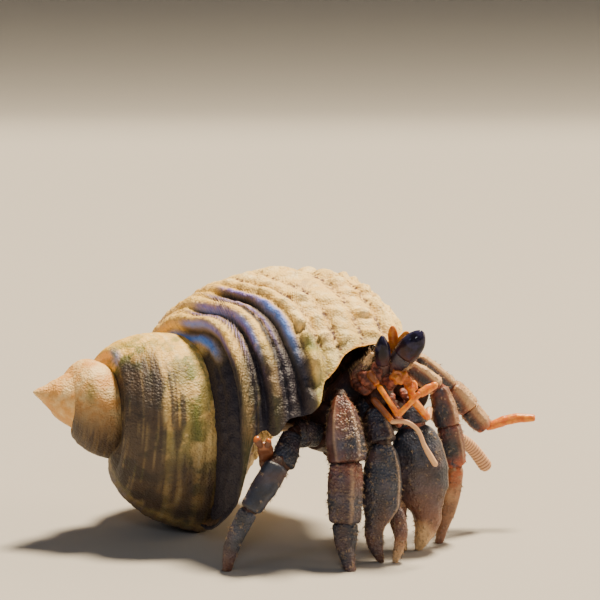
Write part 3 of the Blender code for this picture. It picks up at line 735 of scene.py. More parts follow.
def joined(name, parts, material, nodes):
    """Several closed tubes as one piece: their grids one after another, each one's faces counted on from
    the points before it."""
    points, faces, values, base = [], [], {}, 0
    for grid, masks in parts:
        points.append(grid.reshape(-1, 3))
        faces.append(grid_faces(*grid.shape[:2], wrap=True) + base)
        for key, value in masks.items():
            values.setdefault(key, []).append(np.ravel(value))
        base += grid.shape[0] * grid.shape[1]
    make_piece(name, np.concatenate(points), np.concatenate(faces), material, nodes,
               {key: np.concatenate(value) for key, value in values.items()})


TIP_WIDTHS = (0.3, 0.7, 1.2)
tip_cap, tip_t, _, _, _ = tube((SPIRE_TIP - 0.05 * AXIS, SPIRE_TIP + 1.6 * AXIS), TIP_WIDTHS, TIP_WIDTHS,
                               rings=24, sides=32, cap=(0.5, 0.1), box=2)
joined("shell_tip", [(tip_cap, {"peach": np.ones_like(tip_t)})], lime_shell, ["shell"])

# %% [markdown]
# ## The mouth of the shell
# Inside the lip the wall is smooth, and its dark brown is painted shade, darker still deeper in.  The
# opening's outline is the lip, the pillar on the axis and the inner lip on the turn before.  The same
# outline, shrunk a little about its middle and carried back up the turn, is the hollow.

# %% Outline of the mouth
PILLAR = 36             # points on the pillar
PILLAR_TURN = float(lip_turn(np.array(BASE)))
LIP_ROWS = np.flatnonzero(psi_rows <= SUTURE)
INNER_ROWS = np.flatnonzero(psi_rows <= SHOULDER)[:0:-1]


def mouth_outline():
    """Profile points, turn angles and edge points of the opening: outer lip, pillar, inner lip."""
    outer, inner = psi_rows[LIP_ROWS], psi_rows[INNER_ROWS]
    pillar = np.linspace(0, 1, PILLAR + 2)[1:-1]
    size = TURN_GROWTH ** -pillar * (PROFILE_ALONG + PROFILE_FORE * math.cos(math.radians(BASE)))
    flat = np.concatenate([np.stack(profile(outer), 1), np.stack([size, 0 * size], 1),
                           np.stack(profile(inner), 1) / TURN_GROWTH])
    turns = np.concatenate([lip_turn(outer), np.full(PILLAR, PILLAR_TURN), start_turn(inner) + 360])
    rim_pillar = on_turn(np.full(PILLAR, PILLAR_TURN), size, 0 * size)
    return flat, turns, np.concatenate([body_points[LIP_ROWS, -1], rim_pillar, body_points[INNER_ROWS, 0]])


outline, outline_turns, rim = mouth_outline()
print("the mouth is", round(float(np.ptp(rim[:, 2])), 1), "mm high, with", len(rim), "points round it")

# %% Hollow of the shell
HOLLOW = 56             # rings from the lip to the far end
CAVITY_END = -290       # turn angle of the far end
OUTER = len(LIP_ROWS)
WALL_AT_LIP, WALL_INSIDE = 0.3, 1.5
HOLLOW_SIZE = 0.87
middle = outline.mean(0) + np.array((2.0, 1.5))
back = np.concatenate([[0], np.cumsum(np.linspace(0.35, 2.0, HOLLOW - 1))])
back /= back[-1]
ring = middle + HOLLOW_SIZE * (outline - middle)
ring_turns = outline_turns + (CAVITY_END - outline_turns) * back[:, None]
on_every_ring = np.ones((HOLLOW, 1))
hollow = on_turn(ring_turns, ring[:, 0] * on_every_ring, ring[:, 1] * on_every_ring)
# near the lip the wall follows the outside of the shell, a wall's thickness within it
flat_outline = on_turn(ring_turns, outline[:, 0] * on_every_ring, outline[:, 1] * on_every_ring)
lip_wall = flat_outline.copy()
lip_psi = np.broadcast_to(psi_rows[LIP_ROWS], ring_turns[:, :OUTER].shape)
lip_wall[:, :OUTER], _ = outside(lip_psi, ring_turns[:, :OUTER])
to_middle = hollow.mean(1, keepdims=True) - lip_wall
to_middle /= np.linalg.norm(to_middle, axis=-1, keepdims=True)
wall = WALL_AT_LIP + (WALL_INSIDE - WALL_AT_LIP) * step(back, 0.0, 0.05)[:, None, None]
lip_wall = lip_wall + wall * to_middle
far_in = step(back, 0.07, 0.16)[:, None, None]
hollow = far_in * hollow + (1 - far_in) * lip_wall
keep = (1 - step(back, 0.0, 0.05))[:, None]
hollow[:, OUTER:] += keep[..., None] * (rim - flat_outline[0])[None, OUTER:]
hollow = np.concatenate([rim[None], hollow])
tail = hollow[-1].mean(0)
hollow = np.concatenate([hollow, 0.5 * (hollow[-1:] + tail), np.broadcast_to(tail, hollow[-1:].shape)])
deepness = np.concatenate([[0], back, [1, 1]])[:, None] * np.ones(hollow.shape[1])

# lime glazed smooth by the soft body that slides over it, with a low sheen; its dark browns are painted
# shade, deepest far in
mouth_lime = finish("lime_shell_inside", 0.4, "#8A6236", (
    ("#5C4733", "inner", 1.0, None, (0, 1), CLOUDS),
    ("#6B5036", "inner", 0.6, 2.2, (0.45, 0.7), CLOUDS),
    ("#1F1611", "deep", 1.0, None, (0, 1), CLOUDS)), ((0.1, ALL, 1.6, CLOUDS),), IOR=1.53)
# inner and deep: painted shade inside the lip and deeper in the hollow
make_piece("shell_mouth", hollow, grid_faces(len(hollow), hollow.shape[1], wrap=True), mouth_lime,
           ["shell"], {"inner": step(deepness, 0.0, 0.006), "deep": step(deepness, 0.05, 0.35)})

# %% [markdown]
# ## The crab's plates
# A crab wears its skeleton outside: each part of a limb is one hard plate, a tube with a squarish
# section, a ridge or two, and rows of small granules that each carry a bristle.  Every plate is one
# function of two parameters: how far along its path, and how far round it.

# %% Directions out of a tube


def outward(points, centre):
    """Unit normals of a tube's grid: the cross product of its two directions, turned away from the centre
    line, and at the poles the direction of the centre line itself."""
    n = np.cross(np.roll(points, -1, 1) - np.roll(points, 1, 1), np.gradient(points, axis=0))
    away = points - centre[:, None]
    n *= np.sign((n * away).sum(-1, keepdims=True) + 1e-12)
    size = np.linalg.norm(n, axis=-1, keepdims=True)
    n = np.where(size > 1e-9, n / np.maximum(size, 1e-9), 0)
    poles = np.stack([centre[0] - centre[1], centre[-1] - centre[-2]])
    poles /= np.linalg.norm(poles, axis=1)[:, None]
    n[0], n[-1] = poles[0], poles[1]
    return n


def angle_apart(a, b):
    """Difference of two angles in degrees, from 0 to 180."""
    return np.abs((np.asarray(a, float) - b + 180) % 360 - 180)


print("350 and 20 degrees are", angle_apart(350, 20), "degrees apart")

# %% Granules
ROOTS = []          # where bristles grow: point, outward, along, atlas place, length
ATLAS = 8           # plates per side of the bristles' unwrap
plate_count = 0


def with_granules(points, t, normal, heading, share, count, seed, bead, high, hair):
    """Points raised by round granules, 1 - (distance / size)^2 to the power 0.7, at those of count random
    places that their share lets be kept; also the granules' heights.  Each is noted as a root."""
    global plate_count
    rng = np.random.default_rng(seed)
    at_t, at_angle = rng.random(count), rng.random(count) * 360
    i = np.clip(np.searchsorted(t[:, 0], at_t), 1, len(t) - 2)
    j = (at_angle / 360 * t.shape[1]).astype(int) % t.shape[1]
    kept = rng.random(count) < np.clip(share[i, j], 0.05, 1)
    i, j, at_t, at_angle = i[kept], j[kept], at_t[kept], at_angle[kept]
    size = bead * (0.5 + 0.9 * rng.random(len(at_t)) ** 2)
    gap = points[..., None, :] - points[i, j]
    lengthwise = (gap * heading[i]).sum(-1)
    sideways = (gap ** 2).sum(-1) - lengthwise ** 2
    near = (lengthwise ** 2 + np.maximum(sideways, 0) / 1.6) / size ** 2
    beads = np.max(np.clip(1 - near, 0, 1) ** 0.7 * (0.5 + 0.5 * size / size.max()), axis=-1)
    points = points + (2 * high * beads)[..., None] * normal
    cell = np.array((plate_count % ATLAS, plate_count // ATLAS))
    place = (cell + 0.05 + 0.9 * np.stack([at_angle / 360, at_t], 1)) / ATLAS
    ROOTS.append((points[i, j], normal[i, j], heading[i], place, hair * (0.5 + rng.random(len(at_t)))))
    plate_count += 1
    return points, beads


print("room for", ATLAS ** 2, "plates on the bristles' unwrap")

# %% Plate formula


def plate(path, wide, deep, seed, tone=0.2, tone_end=None, warm=(0, 0), ridges=(), grain=2.0, smooth=None,
          shade_stripes=(), hair=0.35, bead=0.14, high=0.05, fine=1.0, **shape):
    """One plate: a blunt tube, raised by height x hump along its ridges (angle, height, half-width), then
    by granules, grain of them to a square mm, few on its smooth face (from, to degrees).  Also gives the
    masks for its colours, with a painted highlight along its ridges and painted shade in its stripes."""
    for key, value in (("reach", 0.3), ("blunt", 3.0), ("cap", (0.13, 0.1))):
        shape.setdefault(key, value)
    points, t, angle, heading, centre = tube(path, wide, deep, **shape)
    normal = outward(points, centre)
    fade = np.sin(np.pi * np.clip(t, 0, 1)) ** 0.4
    # edge: a painted highlight along each ridge
    edge, lift = np.zeros_like(t), np.zeros_like(t)
    for at, height, half in ridges:
        lift += height * hump(angle_apart(angle, at), 0, half) * fade
        edge = np.maximum(edge, hump(angle_apart(angle, at), 0, half * 0.5) * fade)
    lift += 0.16 * (smooth_noise(points, 1.1, seed + 9) - 0.5)
    points = points + lift[..., None] * normal
    granular = np.full_like(t, fine)
    if smooth:
        middle_of, half_of = (smooth[0] + smooth[1]) / 2, (smooth[1] - smooth[0]) / 2
        granular = fine * (0.12 + 0.88 * step(angle_apart(angle, middle_of), half_of - 16, half_of + 10))
    length = np.linalg.norm(np.diff(centre, axis=0), axis=1).sum()
    count = int(grain * length * math.pi * (np.mean(wide) + np.mean(deep)))
    beads = np.zeros_like(t)
    if count:
        points, beads = with_granules(points, t, normal, heading, granular / fine, count, seed, bead, high,
                                      hair)
    wear = smooth_noise(points, 1.6, seed + 50)
    tip_tone = tone if tone_end is None else tone_end
    tones = tone + (tip_tone - tone) * step(t, 0.35, 1.0)
    tones = tones + 0.35 * (wear - 0.5)
    # painted shade: a darker stripe down one side of the plate
    for at, half in shade_stripes:
        tones = tones - 0.85 * hump(angle_apart(angle, at), 0, half)
    warmth = np.maximum(warm[0] * (1 - step(t, 0.0, 0.5)), warm[1] * step(t, 0.6, 1.0))
    warmth = warmth * step(wear, 0.15, 0.5)
    values = {"tone": tones * 1.4, "cream": step(tones, 0.45, 0.95), "warm": warmth, "rough": granular,
              "granule": beads * 1.2, "edge": edge}
    return points, {key: np.clip(value, 0, 1) for key, value in values.items()}


bare_plate, _ = plate(((0, 0, 0), (0, 0, 5)), (1, 1), (1, 1), 0, grain=0)
print("a bare plate 5 mm long and 2 mm across takes", np.round(np.ptp(bare_plate, axis=(0, 1)), 2), "mm")

# %% [markdown]
# ## What the crab is made of
# The plates are chitin hardened with lime, dark and granular; the joints are the same skin left soft;
# the feelers are thin enough to let orange flesh show through; the corneas are clear and polished.
# All read the same few masks: how brown, how pale, how warm, how rough, and where a granule stands;
# the granules and the plates' ridges carry a painted highlight.

# %% Crab materials
# Chitin hardened with lime, cast by the skin under it with a grain of granules: a blue-black plate with
# a dull satin light on its flat faces and pale points where granules stand up, each with a painted
# highlight; ridges carry a painted highlight and some plates a painted stripe of shade.  The real grain of
# about 0.05 mm is too fine to show, so it is drawn at 0.3 mm.
cuticle = finish("chitin_plate_granular", 0.42, "#191D2B", (
    ("#363D50", ALL, 0.8, 2.2, (0.4, 0.65), CLOUDS),
    # tone and cream: the plate's own colour; on the far legs partly painted sunlight, lowered by painted
    # shade in their stripes
    ("#8A5536", "tone", 0.95, None, (0, 1), CLOUDS),
    ("#DDB987", "cream", 0.9, None, (0, 1), CLOUDS),
    ("#B5521E", "warm", 0.9, 0.9, (0.3, 0.5), CLOUDS),
    ("#8C8480", "rough", 0.4, 0.3, (0.66, 0.86), DOTS),
    # pale granules, with a painted highlight on each
    ("#B39A7C", "granule", 0.33, None, (0, 1), CLOUDS),
    # edge: painted highlight along the ridges
    ("#C9A888", "edge", 0.5, None, (0, 1), CLOUDS),
    ("#1D1819", ALL, 0.45, 0.5, (0.52, 0.72), CLOUDS)),
    ((0.1, "rough", 0.3, DOTS), (0.06, ALL, 0.5, CLOUDS)), IOR=1.54)
# Unhardened skin, folded between the plates and moist: pink-brown and matt, so joints look soft.  Its
# dark layer is stain and painted shade: on the chest and limb bases under the head, and in the hollows
# between lumps.
joint_skin = finish("joint_skin_moist", 0.5, "#5E3024", (
    ("#A8604A", ALL, 1.0, 0.6, (0.35, 0.65), CLOUDS),
    ("#1D1411", "murk", 1.0, None, (0, 1), CLOUDS)), ((0.12, ALL, 0.8, CLOUDS),), IOR=1.42)
# Thin clear chitin, drawn out smooth over orange flesh: bright colour and a thin line of light.
feeler_chitin = finish("feeler_chitin_thin", 0.35, "#D4640C", (
    ("#F59A1E", ALL, 0.9, 0.7, (0.35, 0.65), CLOUDS),
    ("#B8401A", "red", 0.6, None, (0, 1), CLOUDS),
    ("#DDB68E", "pale", 1.0, None, (0, 1), CLOUDS),
    ("#5E3622", "ring", 0.9, None, (0, 1), CLOUDS)), ((0.04, ALL, 0.7, CLOUDS),), IOR=1.5)
# Clear cuticle grown in facets of 0.02 mm, too fine to show, over dark pigment: a blue-black face, weak
# mirror and small hard glints.
cornea_lens = finish("cornea_glossy", 0.11, "#14121E", (
    ("#2C2A4A", ALL, 0.8, 1.1, (0.4, 0.65), CLOUDS),
    ("#4A2A22", "dusk", 0.75, 0.9, (0.25, 0.6), CLOUDS),
    ("#2E211D", "rim", 0.9, None, (0, 1), CLOUDS)), IOR=1.38, Specular_IOR_Level=0.36)
print("crab materials:", [made.name for made in (cuticle, joint_skin, feeler_chitin, cornea_lens)])

# %% [markdown]
# ## The limbs
# Two claws, the left one larger, two pairs of long walking legs, and the small fourth leg that grips
# the shell.  Some plates have a smooth dark face, and their lit edges carry the most granules.  Each row
# gives a plate's name, its path, its widths and depths along the path, and what is special about it.
# Angles run round a plate in degrees, and at 90 it faces the viewer.

# %% Walking legs of the right side
RIGHT_LEG_2 = [
    ("merus", ((3.9, -13.8, 13.9), (4.3, -15.8, 18.6)), (0.9, 1.1, 1.0), (0.9, 1.0, 0.9), dict(tone=0.0)),
    ("carpus", ((4.6, -17.9, 21.2), (5.4, -20.0, 14.1)), (0.7, 1.75, 2.25, 2.2), (0.7, 1.3, 1.7, 1.7),
     dict(tone=0.34, tone_end=0.0, warm=(0.35, 0.1), grain=3.0, smooth=(14, 84),
          ridges=((122, 0.22, 22), (62, 0.1, 16)), rings=90, sides=80, cap=(0.22, 0.07), box=2.6)),
    ("propodus", ((5.2, -20.05, 13.75), (5.1, -21.0, 7.3)), (1.8, 2.0, 1.95, 1.8), (1.5, 1.6, 1.5, 1.4),
     dict(tone=0.15, tone_end=0.0, warm=(0.3, 0), grain=2.4, fine=0.75, smooth=(170, 272),
          ridges=((104, 0.16, 20),), rings=90, sides=80, cap=(0.1, 0.1), box=2.8)),
    ("dactyl", ((5.1, -21.05, 7.0), (5.2, -21.6, 4.4), (5.8, -22.6, 1.3)), (1.55, 1.3, 0.8, 0.4),
     (1.2, 1.0, 0.7, 0.4), dict(tone=0.0, tone_end=0.35, grain=2.0, fine=0.75))]
RIGHT_LEG_3 = [
    ("merus", ((1.8, -15.2, 16.0), (-0.2, -17.3, 16.8)), (1.3, 1.6, 1.4), (1.0, 1.2, 1.1), dict(tone=0.05)),
    ("carpus", ((-0.9, -18.5, 16.7), (-1.9, -21.0, 14.0)), (1.1, 1.4, 1.4), (0.7, 0.9, 0.9),
     dict(tone=0.0, grain=1.35, fine=0.7)),
    ("propodus", ((-2.6, -21.7, 13.9), (-5.5, -23.0, 9.3)), (1.4, 1.45, 1.2), (0.85, 0.9, 0.8),
     dict(tone=0.0, grain=2.0, fine=0.7, smooth=(20, 150), ridges=((178, 0.08, 14),), rings=80, sides=64)),
    ("dactyl", ((-5.8, -23.05, 8.9), (-7.5, -22.8, 5.4), (-8.4, -22.4, 1.3)), (1.15, 0.95, 0.35),
     (0.8, 0.7, 0.35), dict(tone=0.0, tone_end=0.45, grain=1.6, fine=0.7))]
print("right walking legs:", len(RIGHT_LEG_2) + len(RIGHT_LEG_3), "plates")

# %% Walking legs of the left side
FAR_LEG = dict(fine=0.3)        # the far legs' plates are smoother
# The far legs' high, cream tones are partly painted sunlight; their stripes are painted shade and their pale
# ridge edges painted highlights.
LEFT_LEG_2 = [
    ("merus", ((12.6, -11.0, 23.4), (15.9, -10.2, 20.9)), (0.9, 1.2, 1.2), (0.7, 0.9, 0.9),
     dict(FAR_LEG, tone=0.85, warm=(0.3, 0.3), grain=1.35, shade_stripes=((85, 45),),
          ridges=((40, 0.12, 20), (140, 0.12, 20)))),
    ("carpus", ((16.4, -10.2, 20.5), (17.4, -10.3, 16.4)), (1.05, 1.5, 1.5), (0.8, 1.0, 1.0),
     dict(FAR_LEG, tone=0.6, warm=(0.3, 0.3), grain=1.8, shade_stripes=((75, 55),),
          ridges=((125, 0.14, 18), (20, 0.1, 18)), rings=80, sides=64)),
    ("propodus", ((17.5, -10.3, 16.05), (18.5, -9.8, 11.5)), (1.45, 1.5, 1.2), (1.0, 0.95, 0.8),
     dict(FAR_LEG, tone=0.4, warm=(0.3, 1.0), grain=1.8, shade_stripes=((75, 55),), ridges=((130, 0.12, 16),),
          rings=80, sides=64)),
    ("dactyl", ((18.5, -9.75, 11.1), (17.9, -9.8, 7.2), (16.3, -10.2, 1.3)), (0.95, 1.0, 0.75, 0.35),
     (0.75, 0.7, 0.6, 0.35), dict(FAR_LEG, tone=0.65, tone_end=0.5, warm=(1.0, 0), grain=1.35, rings=80))]
LEFT_LEG_3 = [
    ("merus", ((14.1, -6.0, 23.5), (17.9, -3.2, 19.8)), (0.8, 1.1, 1.1), (0.7, 0.9, 0.9),
     dict(FAR_LEG, tone=0.78, grain=1.6, ridges=((45, 0.12, 18), (135, 0.1, 18)), shade_stripes=((90, 40),))),
    ("carpus", ((18.4, -3.0, 19.3), (20.4, -2.2, 16.9)), (1.2, 1.5, 1.45), (0.9, 1.0, 1.0),
     dict(FAR_LEG, tone=0.8, grain=1.8, warm=(0.4, 0.3), ridges=((120, 0.12, 20),), shade_stripes=((60, 45),))),
    ("propodus", ((20.7, -2.1, 16.4), (22.5, -1.8, 14.3)), (1.3, 1.3, 1.0), (0.9, 0.9, 0.8),
     dict(FAR_LEG, tone=0.7, grain=1.8, warm=(0, 1.0), ridges=((120, 0.12, 20),), shade_stripes=((60, 40),)))]
print("left walking legs:", len(LEFT_LEG_2) + len(LEFT_LEG_3), "plates")

# %% Claws
RIGHT_CLAW = [
    ("merus", ((7.6, -12.8, 19.6), (7.7, -14.3, 17.8)), (0.9, 1.0, 0.9), (0.9, 1.0, 0.9), dict(tone=0.1)),
    ("carpus", ((8.6, -16.0, 19.0), (9.4, -17.6, 15.9)), (0.8, 1.4, 1.7), (0.8, 1.2, 1.5),
     dict(tone=0.05, grain=2.8, fine=0.8, smooth=(160, 260), ridges=((128, 0.25, 20),), rings=72, sides=72)),
    ("palm", ((9.4, -17.9, 15.5), (9.4, -18.3, 12.0), (9.2, -18.6, 8.8), (8.5, -18.8, 5.4),
              (9.2, -18.9, 2.2)),
     (1.4, 2.0, 2.3, 2.3, 1.2, 0.95, 0.4), (1.4, 1.6, 1.7, 1.5, 1.1, 0.8, 0.4),
     dict(tone=0.0, tone_end=0.25, grain=2.4, fine=0.7, smooth=(150, 264), ridges=((142, 0.1, 20),),
          rings=130, sides=88, bead=0.13)),
    ("finger", ((11.3, -18.7, 8.0), (11.6, -18.9, 5.4), (10.9, -19.0, 2.1)), (0.6, 0.75, 0.3),
     (0.7, 0.7, 0.35), dict(tone=0.35, tone_end=0.8, grain=2.25))]
LEFT_CLAW = [
    ("merus", ((10.7, -8.9, 21.0), (11.7, -10.6, 19.9)), (1.2, 1.4, 1.2), (1.2, 1.3, 1.1), dict(tone=0.2)),
    ("carpus", ((12.3, -12.0, 19.3), (13.2, -12.9, 16.9)), (1.4, 1.9, 1.9), (1.2, 1.6, 1.7),
     dict(tone=0.0, grain=0.8, fine=0.3, warm=(0.25, 0.0), ridges=((130, 0.2, 20),))),
    ("palm", ((13.2, -13.1, 16.5), (13.8, -13.4, 12.6), (14.3, -13.5, 9.0), (14.8, -13.6, 5.7),
              (13.8, -13.6, 2.2)),
     (2.1, 2.95, 3.2, 2.95, 1.8, 1.2, 0.4), (1.6, 2.1, 2.3, 2.0, 1.5, 1.1, 0.45),
     dict(tone=0.03, tone_end=0.85, grain=1.2, fine=0.4, smooth=(175, 338), ridges=((172, 0.16, 16),),
          rings=130, sides=88)),
    ("finger", ((11.9, -13.5, 8.0), (11.5, -13.6, 5.4), (12.2, -13.7, 2.1)), (0.8, 0.95, 0.35),
     (0.9, 0.85, 0.4), dict(tone=0.5, tone_end=0.95, grain=1.35))]
LIMBS = {"leg_2_right": RIGHT_LEG_2, "leg_3_right": RIGHT_LEG_3, "leg_2_left": LEFT_LEG_2,
         "leg_3_left": LEFT_LEG_3, "claw_right": RIGHT_CLAW, "claw_left": LEFT_CLAW}
print("limbs:", {limb: len(segments) for limb, segments in LIMBS.items()})

# %% [markdown]
# ## Limbs and their joints
# Between two hard plates lies a short sleeve of soft folded skin.  All soft parts are gathered in one
# list and become one skin with the belly, so that no seam shows between them.

# %% Plates of the limbs
SKIN = []           # joint skin, body and face flesh, made into one piece below
FOLD_MM = 0.5       # length of one fold of soft skin
SLEEVE = 0.74       # a sleeve's thickness beside the thinner plate's


def skin_tube(path, wide, deep, murk=0.0, wrinkle=0.05, lumps=0.0, **shape):
    """Soft tube whose radius swells by wrinkle x a sine along it, one fold each FOLD_MM, and by lumps x
    noise; murk is how dark it is, as stain and painted shade, and on lumpy tubes the hollows darken
    further as painted shade."""
    shape.setdefault("rings", 36)
    shape.setdefault("sides", 32)
    points, t, angle, _, centre = tube(path, wide, deep, box=2, **shape)
    length = np.linalg.norm(np.diff(centre, axis=0), axis=1).sum()
    fold = np.sin(2 * math.pi * t * length / FOLD_MM + 1.5 * np.sin(np.radians(angle) * 2))
    swell = wrinkle * fold * np.sin(np.pi * t) + lumps * (smooth_noise(points, 0.8, 45) - 0.5)
    points = points + swell[..., None] * outward(points, centre)
    stain_and_crease_shade = murk + 0.2 * (1 - murk) * fold - 2.0 * swell * (lumps > 0)
    SKIN.append((points, {"murk": np.clip(stain_and_crease_shade, 0, 1)}))


for number, (limb, segments) in enumerate(LIMBS.items()):
    parts = []
    for k, (segment, path, wide, deep, looks) in enumerate(segments):
        parts.append(plate(path, wide, deep, 100 * number + k, **looks))
        if k and segment != "finger":
            before = segments[k - 1]
            a, b = np.array(before[1][-1], float), np.array(path[0], float)
            thick = SLEEVE * min(before[2][-1], wide[0] if wide[0] > 0.8 else 1.0)
            flat = min(thick, SLEEVE * min(before[3][-1], max(deep[0], 0.8)))
            into = a + (np.array(before[1][-2]) - a) * 0.2
            on = b + (np.array(path[1]) - b) * 0.2
            skin_tube((into, a, b, on), (thick, thick, thick), (flat, flat, flat),
                      murk=0.35 if "left" in limb else 0.9)
    joined(limb, parts, cuticle, [f"{limb}_{segment[0]}" for segment in segments])

# %% [markdown]
# ## Body and face
# The belly is soft and lies in the shell, the chest carries the limbs, and folds of soft skin lie
# between the eyes and the mouth.  They are drawn as lumpy tubes set into one another, which is how the
# folds of such skin look, and they join the sleeves of the limbs in one piece.

# %% Body, limb bases and folds of the face
# The chest and the limbs' bases are given dark skin as painted shade: they fill the shaded gap under the
# head, between the shell's lip and the legs.
skin_tube(((3.4, -7.0, 12.8), (6.6, -9.9, 15.2), (9.6, -12.3, 17.4)), (2.4, 3.0, 2.9, 2.3),
          (2.2, 2.9, 2.7, 2.1), murk=0.95, rings=60, sides=60, lumps=0.4)
skin_tube(((10.2, -12.8, 22.9), (8.2, -8.8, 23.0), (3.0, -3.6, 20.2)), (1.6, 2.6, 3.0, 2.6),
          (1.5, 2.1, 2.4, 2.3), murk=0.9, rings=60, sides=60, lumps=0.3)
# the limbs' bases: where each leaves the chest, where its limb starts, and its thickness
BASES = (((5.0, -8.0, 16.6), (1.9, -12.8, 17.0), 2.4), ((8.6, -7.4, 18.6), (10.9, -9.2, 20.9), 1.3),
         ((9.0, -8.4, 19.6), (12.8, -11.0, 23.2), 1.0), ((8.6, -5.5, 18.6), (14.3, -5.9, 23.3), 1.1),
         ((6.8, -10.0, 17.5), (7.6, -13.0, 19.4), 1.1), ((4.8, -9.5, 14.5), (3.9, -14.0, 14.2), 1.1),
         ((3.5, -8.6, 14.0), (1.5, -15.4, 16.0), 1.5), ((9.8, -12.2, 18.0), (11.3, -15.0, 19.0), 1.2),
         ((8.6, -12.6, 19.6), (9.5, -15.2, 21.4), 1.5), ((6.5, -6.5, 15.5), (9.6, -3.4, 17.4), 0.9),
         ((9.4, -9.4, 20.6), (15.2, -9.6, 19.6), 1.7), ((9.8, -10.6, 17.4), (14.0, -10.4, 17.6), 1.9),
         ((9.6, -11.8, 21.8), (12.6, -12.2, 21.2), 1.3))
for low, up, thick in BASES:
    skin_tube((low, up), (thick, thick), (thick, thick), murk=0.85)
skin_tube(((-0.6, -13.2, 13.4), (-2.6, -17.8, 12.2), (-3.7, -19.7, 12.6)), (0.6, 0.6, 0.6), (0.5, 0.5, 0.5),
          murk=0.6)
# folds of the face: three points and the thickness
FOLDS = (((6.6, -14.8, 23.6), (7.6, -16.2, 22.9), (8.6, -17.0, 21.6), 0.85),
         ((6.0, -14.2, 22.6), (6.9, -15.6, 21.9), (7.9, -16.2, 20.9), 0.8),
         ((8.3, -15.6, 24.5), (8.8, -16.5, 23.6), (9.2, -16.9, 22.6), 0.62),
         ((9.6, -15.0, 23.3), (10.2, -15.9, 22.7), (10.6, -16.3, 21.7), 0.7),
         ((10.4, -14.2, 21.0), (11.0, -15.6, 18.9), (11.5, -16.6, 17.3), 0.55),
         ((11.7, -13.8, 21.2), (12.3, -14.6, 20.4), (12.8, -15.4, 19.4), 0.5))
for a, b, c, thick in FOLDS:
    skin_tube((a, b, c), (thick * 0.8, thick, thick * 0.7), (thick * 0.8, thick, thick * 0.7), murk=0.3,
              wrinkle=0.04, lumps=0.55, rings=60, sides=44)

# the belly follows the middle of the hollow
BELLY = np.searchsorted(back, np.linspace(0.1, 0.6, 9)) + 1
belly_path = hollow[BELLY].mean(1)
belly_size = 0.62 * np.linalg.norm(hollow[BELLY] - belly_path[:, None], axis=-1).mean(1)
skin_tube(belly_path, belly_size, belly_size, murk=0.6, wrinkle=0.09, side=AXIS, rings=120, sides=60)
joined("body_skin", SKIN, joint_skin,
       ["abdomen", "thorax", "face_right", "mouth_limb_right", "mouth_limb_left"])

# %% [markdown]
# ## Shield, eyestalks and scales
# A hard shield covers the head.  Each eye stands on a short hard stalk with a scale beside it, and the
# right one's scales are pale and bristly.  They are plates like those of the limbs.

# %% Shield, eyestalks and scales
head_parts = [
    plate(((10.2, -13.6, 22.4), (7.6, -10.9, 21.5), (4.6, -7.4, 18.6)), (1.5, 2.5, 2.9, 2.6),
          (1.1, 1.9, 2.2, 2.0), 700, tone=0.12, grain=0.3, side=(0, -0.5, 0.8), rings=90, sides=90, bead=0.1,
          high=0.03, hair=0.3, fine=0.25),
    plate(((9.55, -15.0, 22.2), (9.5, -16.25, 25.0)), (0.66, 0.8, 0.78), (0.6, 0.72, 0.7), 701, tone=0.1,
          warm=(0.5, 0.1), grain=0.8, bead=0.09, reach=0.1, fine=0.2),
    plate(((10.7, -15.2, 23.5), (12.4, -16.4, 26.4)), (0.9, 1.22, 1.15), (0.62, 0.8, 0.8), 702, tone=0.08,
          warm=(0.4, 0.0), grain=0.8, bead=0.09, reach=0.1, rings=72, sides=72, fine=0.15),
    plate(((6.9, -15.5, 23.3), (8.2, -16.1, 25.6)), (0.55, 0.6, 0.42, 0.2), (0.42, 0.42, 0.3, 0.2), 703,
          tone=0.95, warm=(0.35, 0.1), grain=12, bead=0.1, hair=0.55),
    plate(((6.3, -15.0, 22.7), (7.2, -15.8, 24.3)), (0.6, 0.66, 0.4), (0.45, 0.5, 0.3), 704, tone=0.35,
          warm=(0.9, 0.3), grain=12, bead=0.1, hair=0.55),
    plate(((11.5, -15.6, 23.6), (12.6, -16.0, 24.6)), (0.5, 0.5, 0.3), (0.4, 0.4, 0.3), 705, tone=0.7,
          warm=(0.5, 0.3), grain=8, bead=0.1, hair=0.45)]
joined("head_plates", head_parts, cuticle,
       ["shield", "eyestalk_right", "eyestalk_left", "acicle_right"])

# %% [markdown]
# ## Corneas
# The end of each stalk is a cap of polished facets.  A sphere would look like a bead: a land crab's
# cornea is long, reaches further down on one side, and darkens toward its tip.

# %% Corneas


def cornea(name, path, wide, deep, node_name):
    """Smooth glossy end of an eye: a tube with a long round cap, whose mask "rim" falls from 1 to 0 where
    the stalk ends and "dusk" from 1 to 0 over its lower half."""
    points, t, _, _, _ = tube(path, wide, deep, rings=72, sides=72, cap=(0.12, 0.48), box=2)
    masks = {"rim": 1 - step(t, 0.05, 0.15), "dusk": 1 - step(t, 0.1, 0.6)}
    joined(name, [(points, masks)], cornea_lens, [node_name])


cornea("eye_right", ((9.5, -16.15, 24.4), (9.4, -16.9, 26.4), (9.35, -17.4, 28.05)), (0.84, 0.95, 0.88, 0.6),
       (0.82, 0.9, 0.86, 0.7), "cornea_right")
cornea("eye_left", ((11.7, -16.1, 25.25), (12.95, -16.65, 27.0), (13.95, -16.95, 28.5)),
       (1.36, 1.44, 1.3, 1.02), (0.96, 1.0, 0.94, 0.76), "cornea_left")

# %% [markdown]
# ## Feelers
# Antennules bend at a bulb and end in a blade; the antennae are stems with long whips, one of them
# cut by rings like a rope.  They are tubes too, with lumps from noise and rings from a wave along t.
# The orange tip of a far leg and the two small fourth legs are made the same way.

# %% Feeler formula


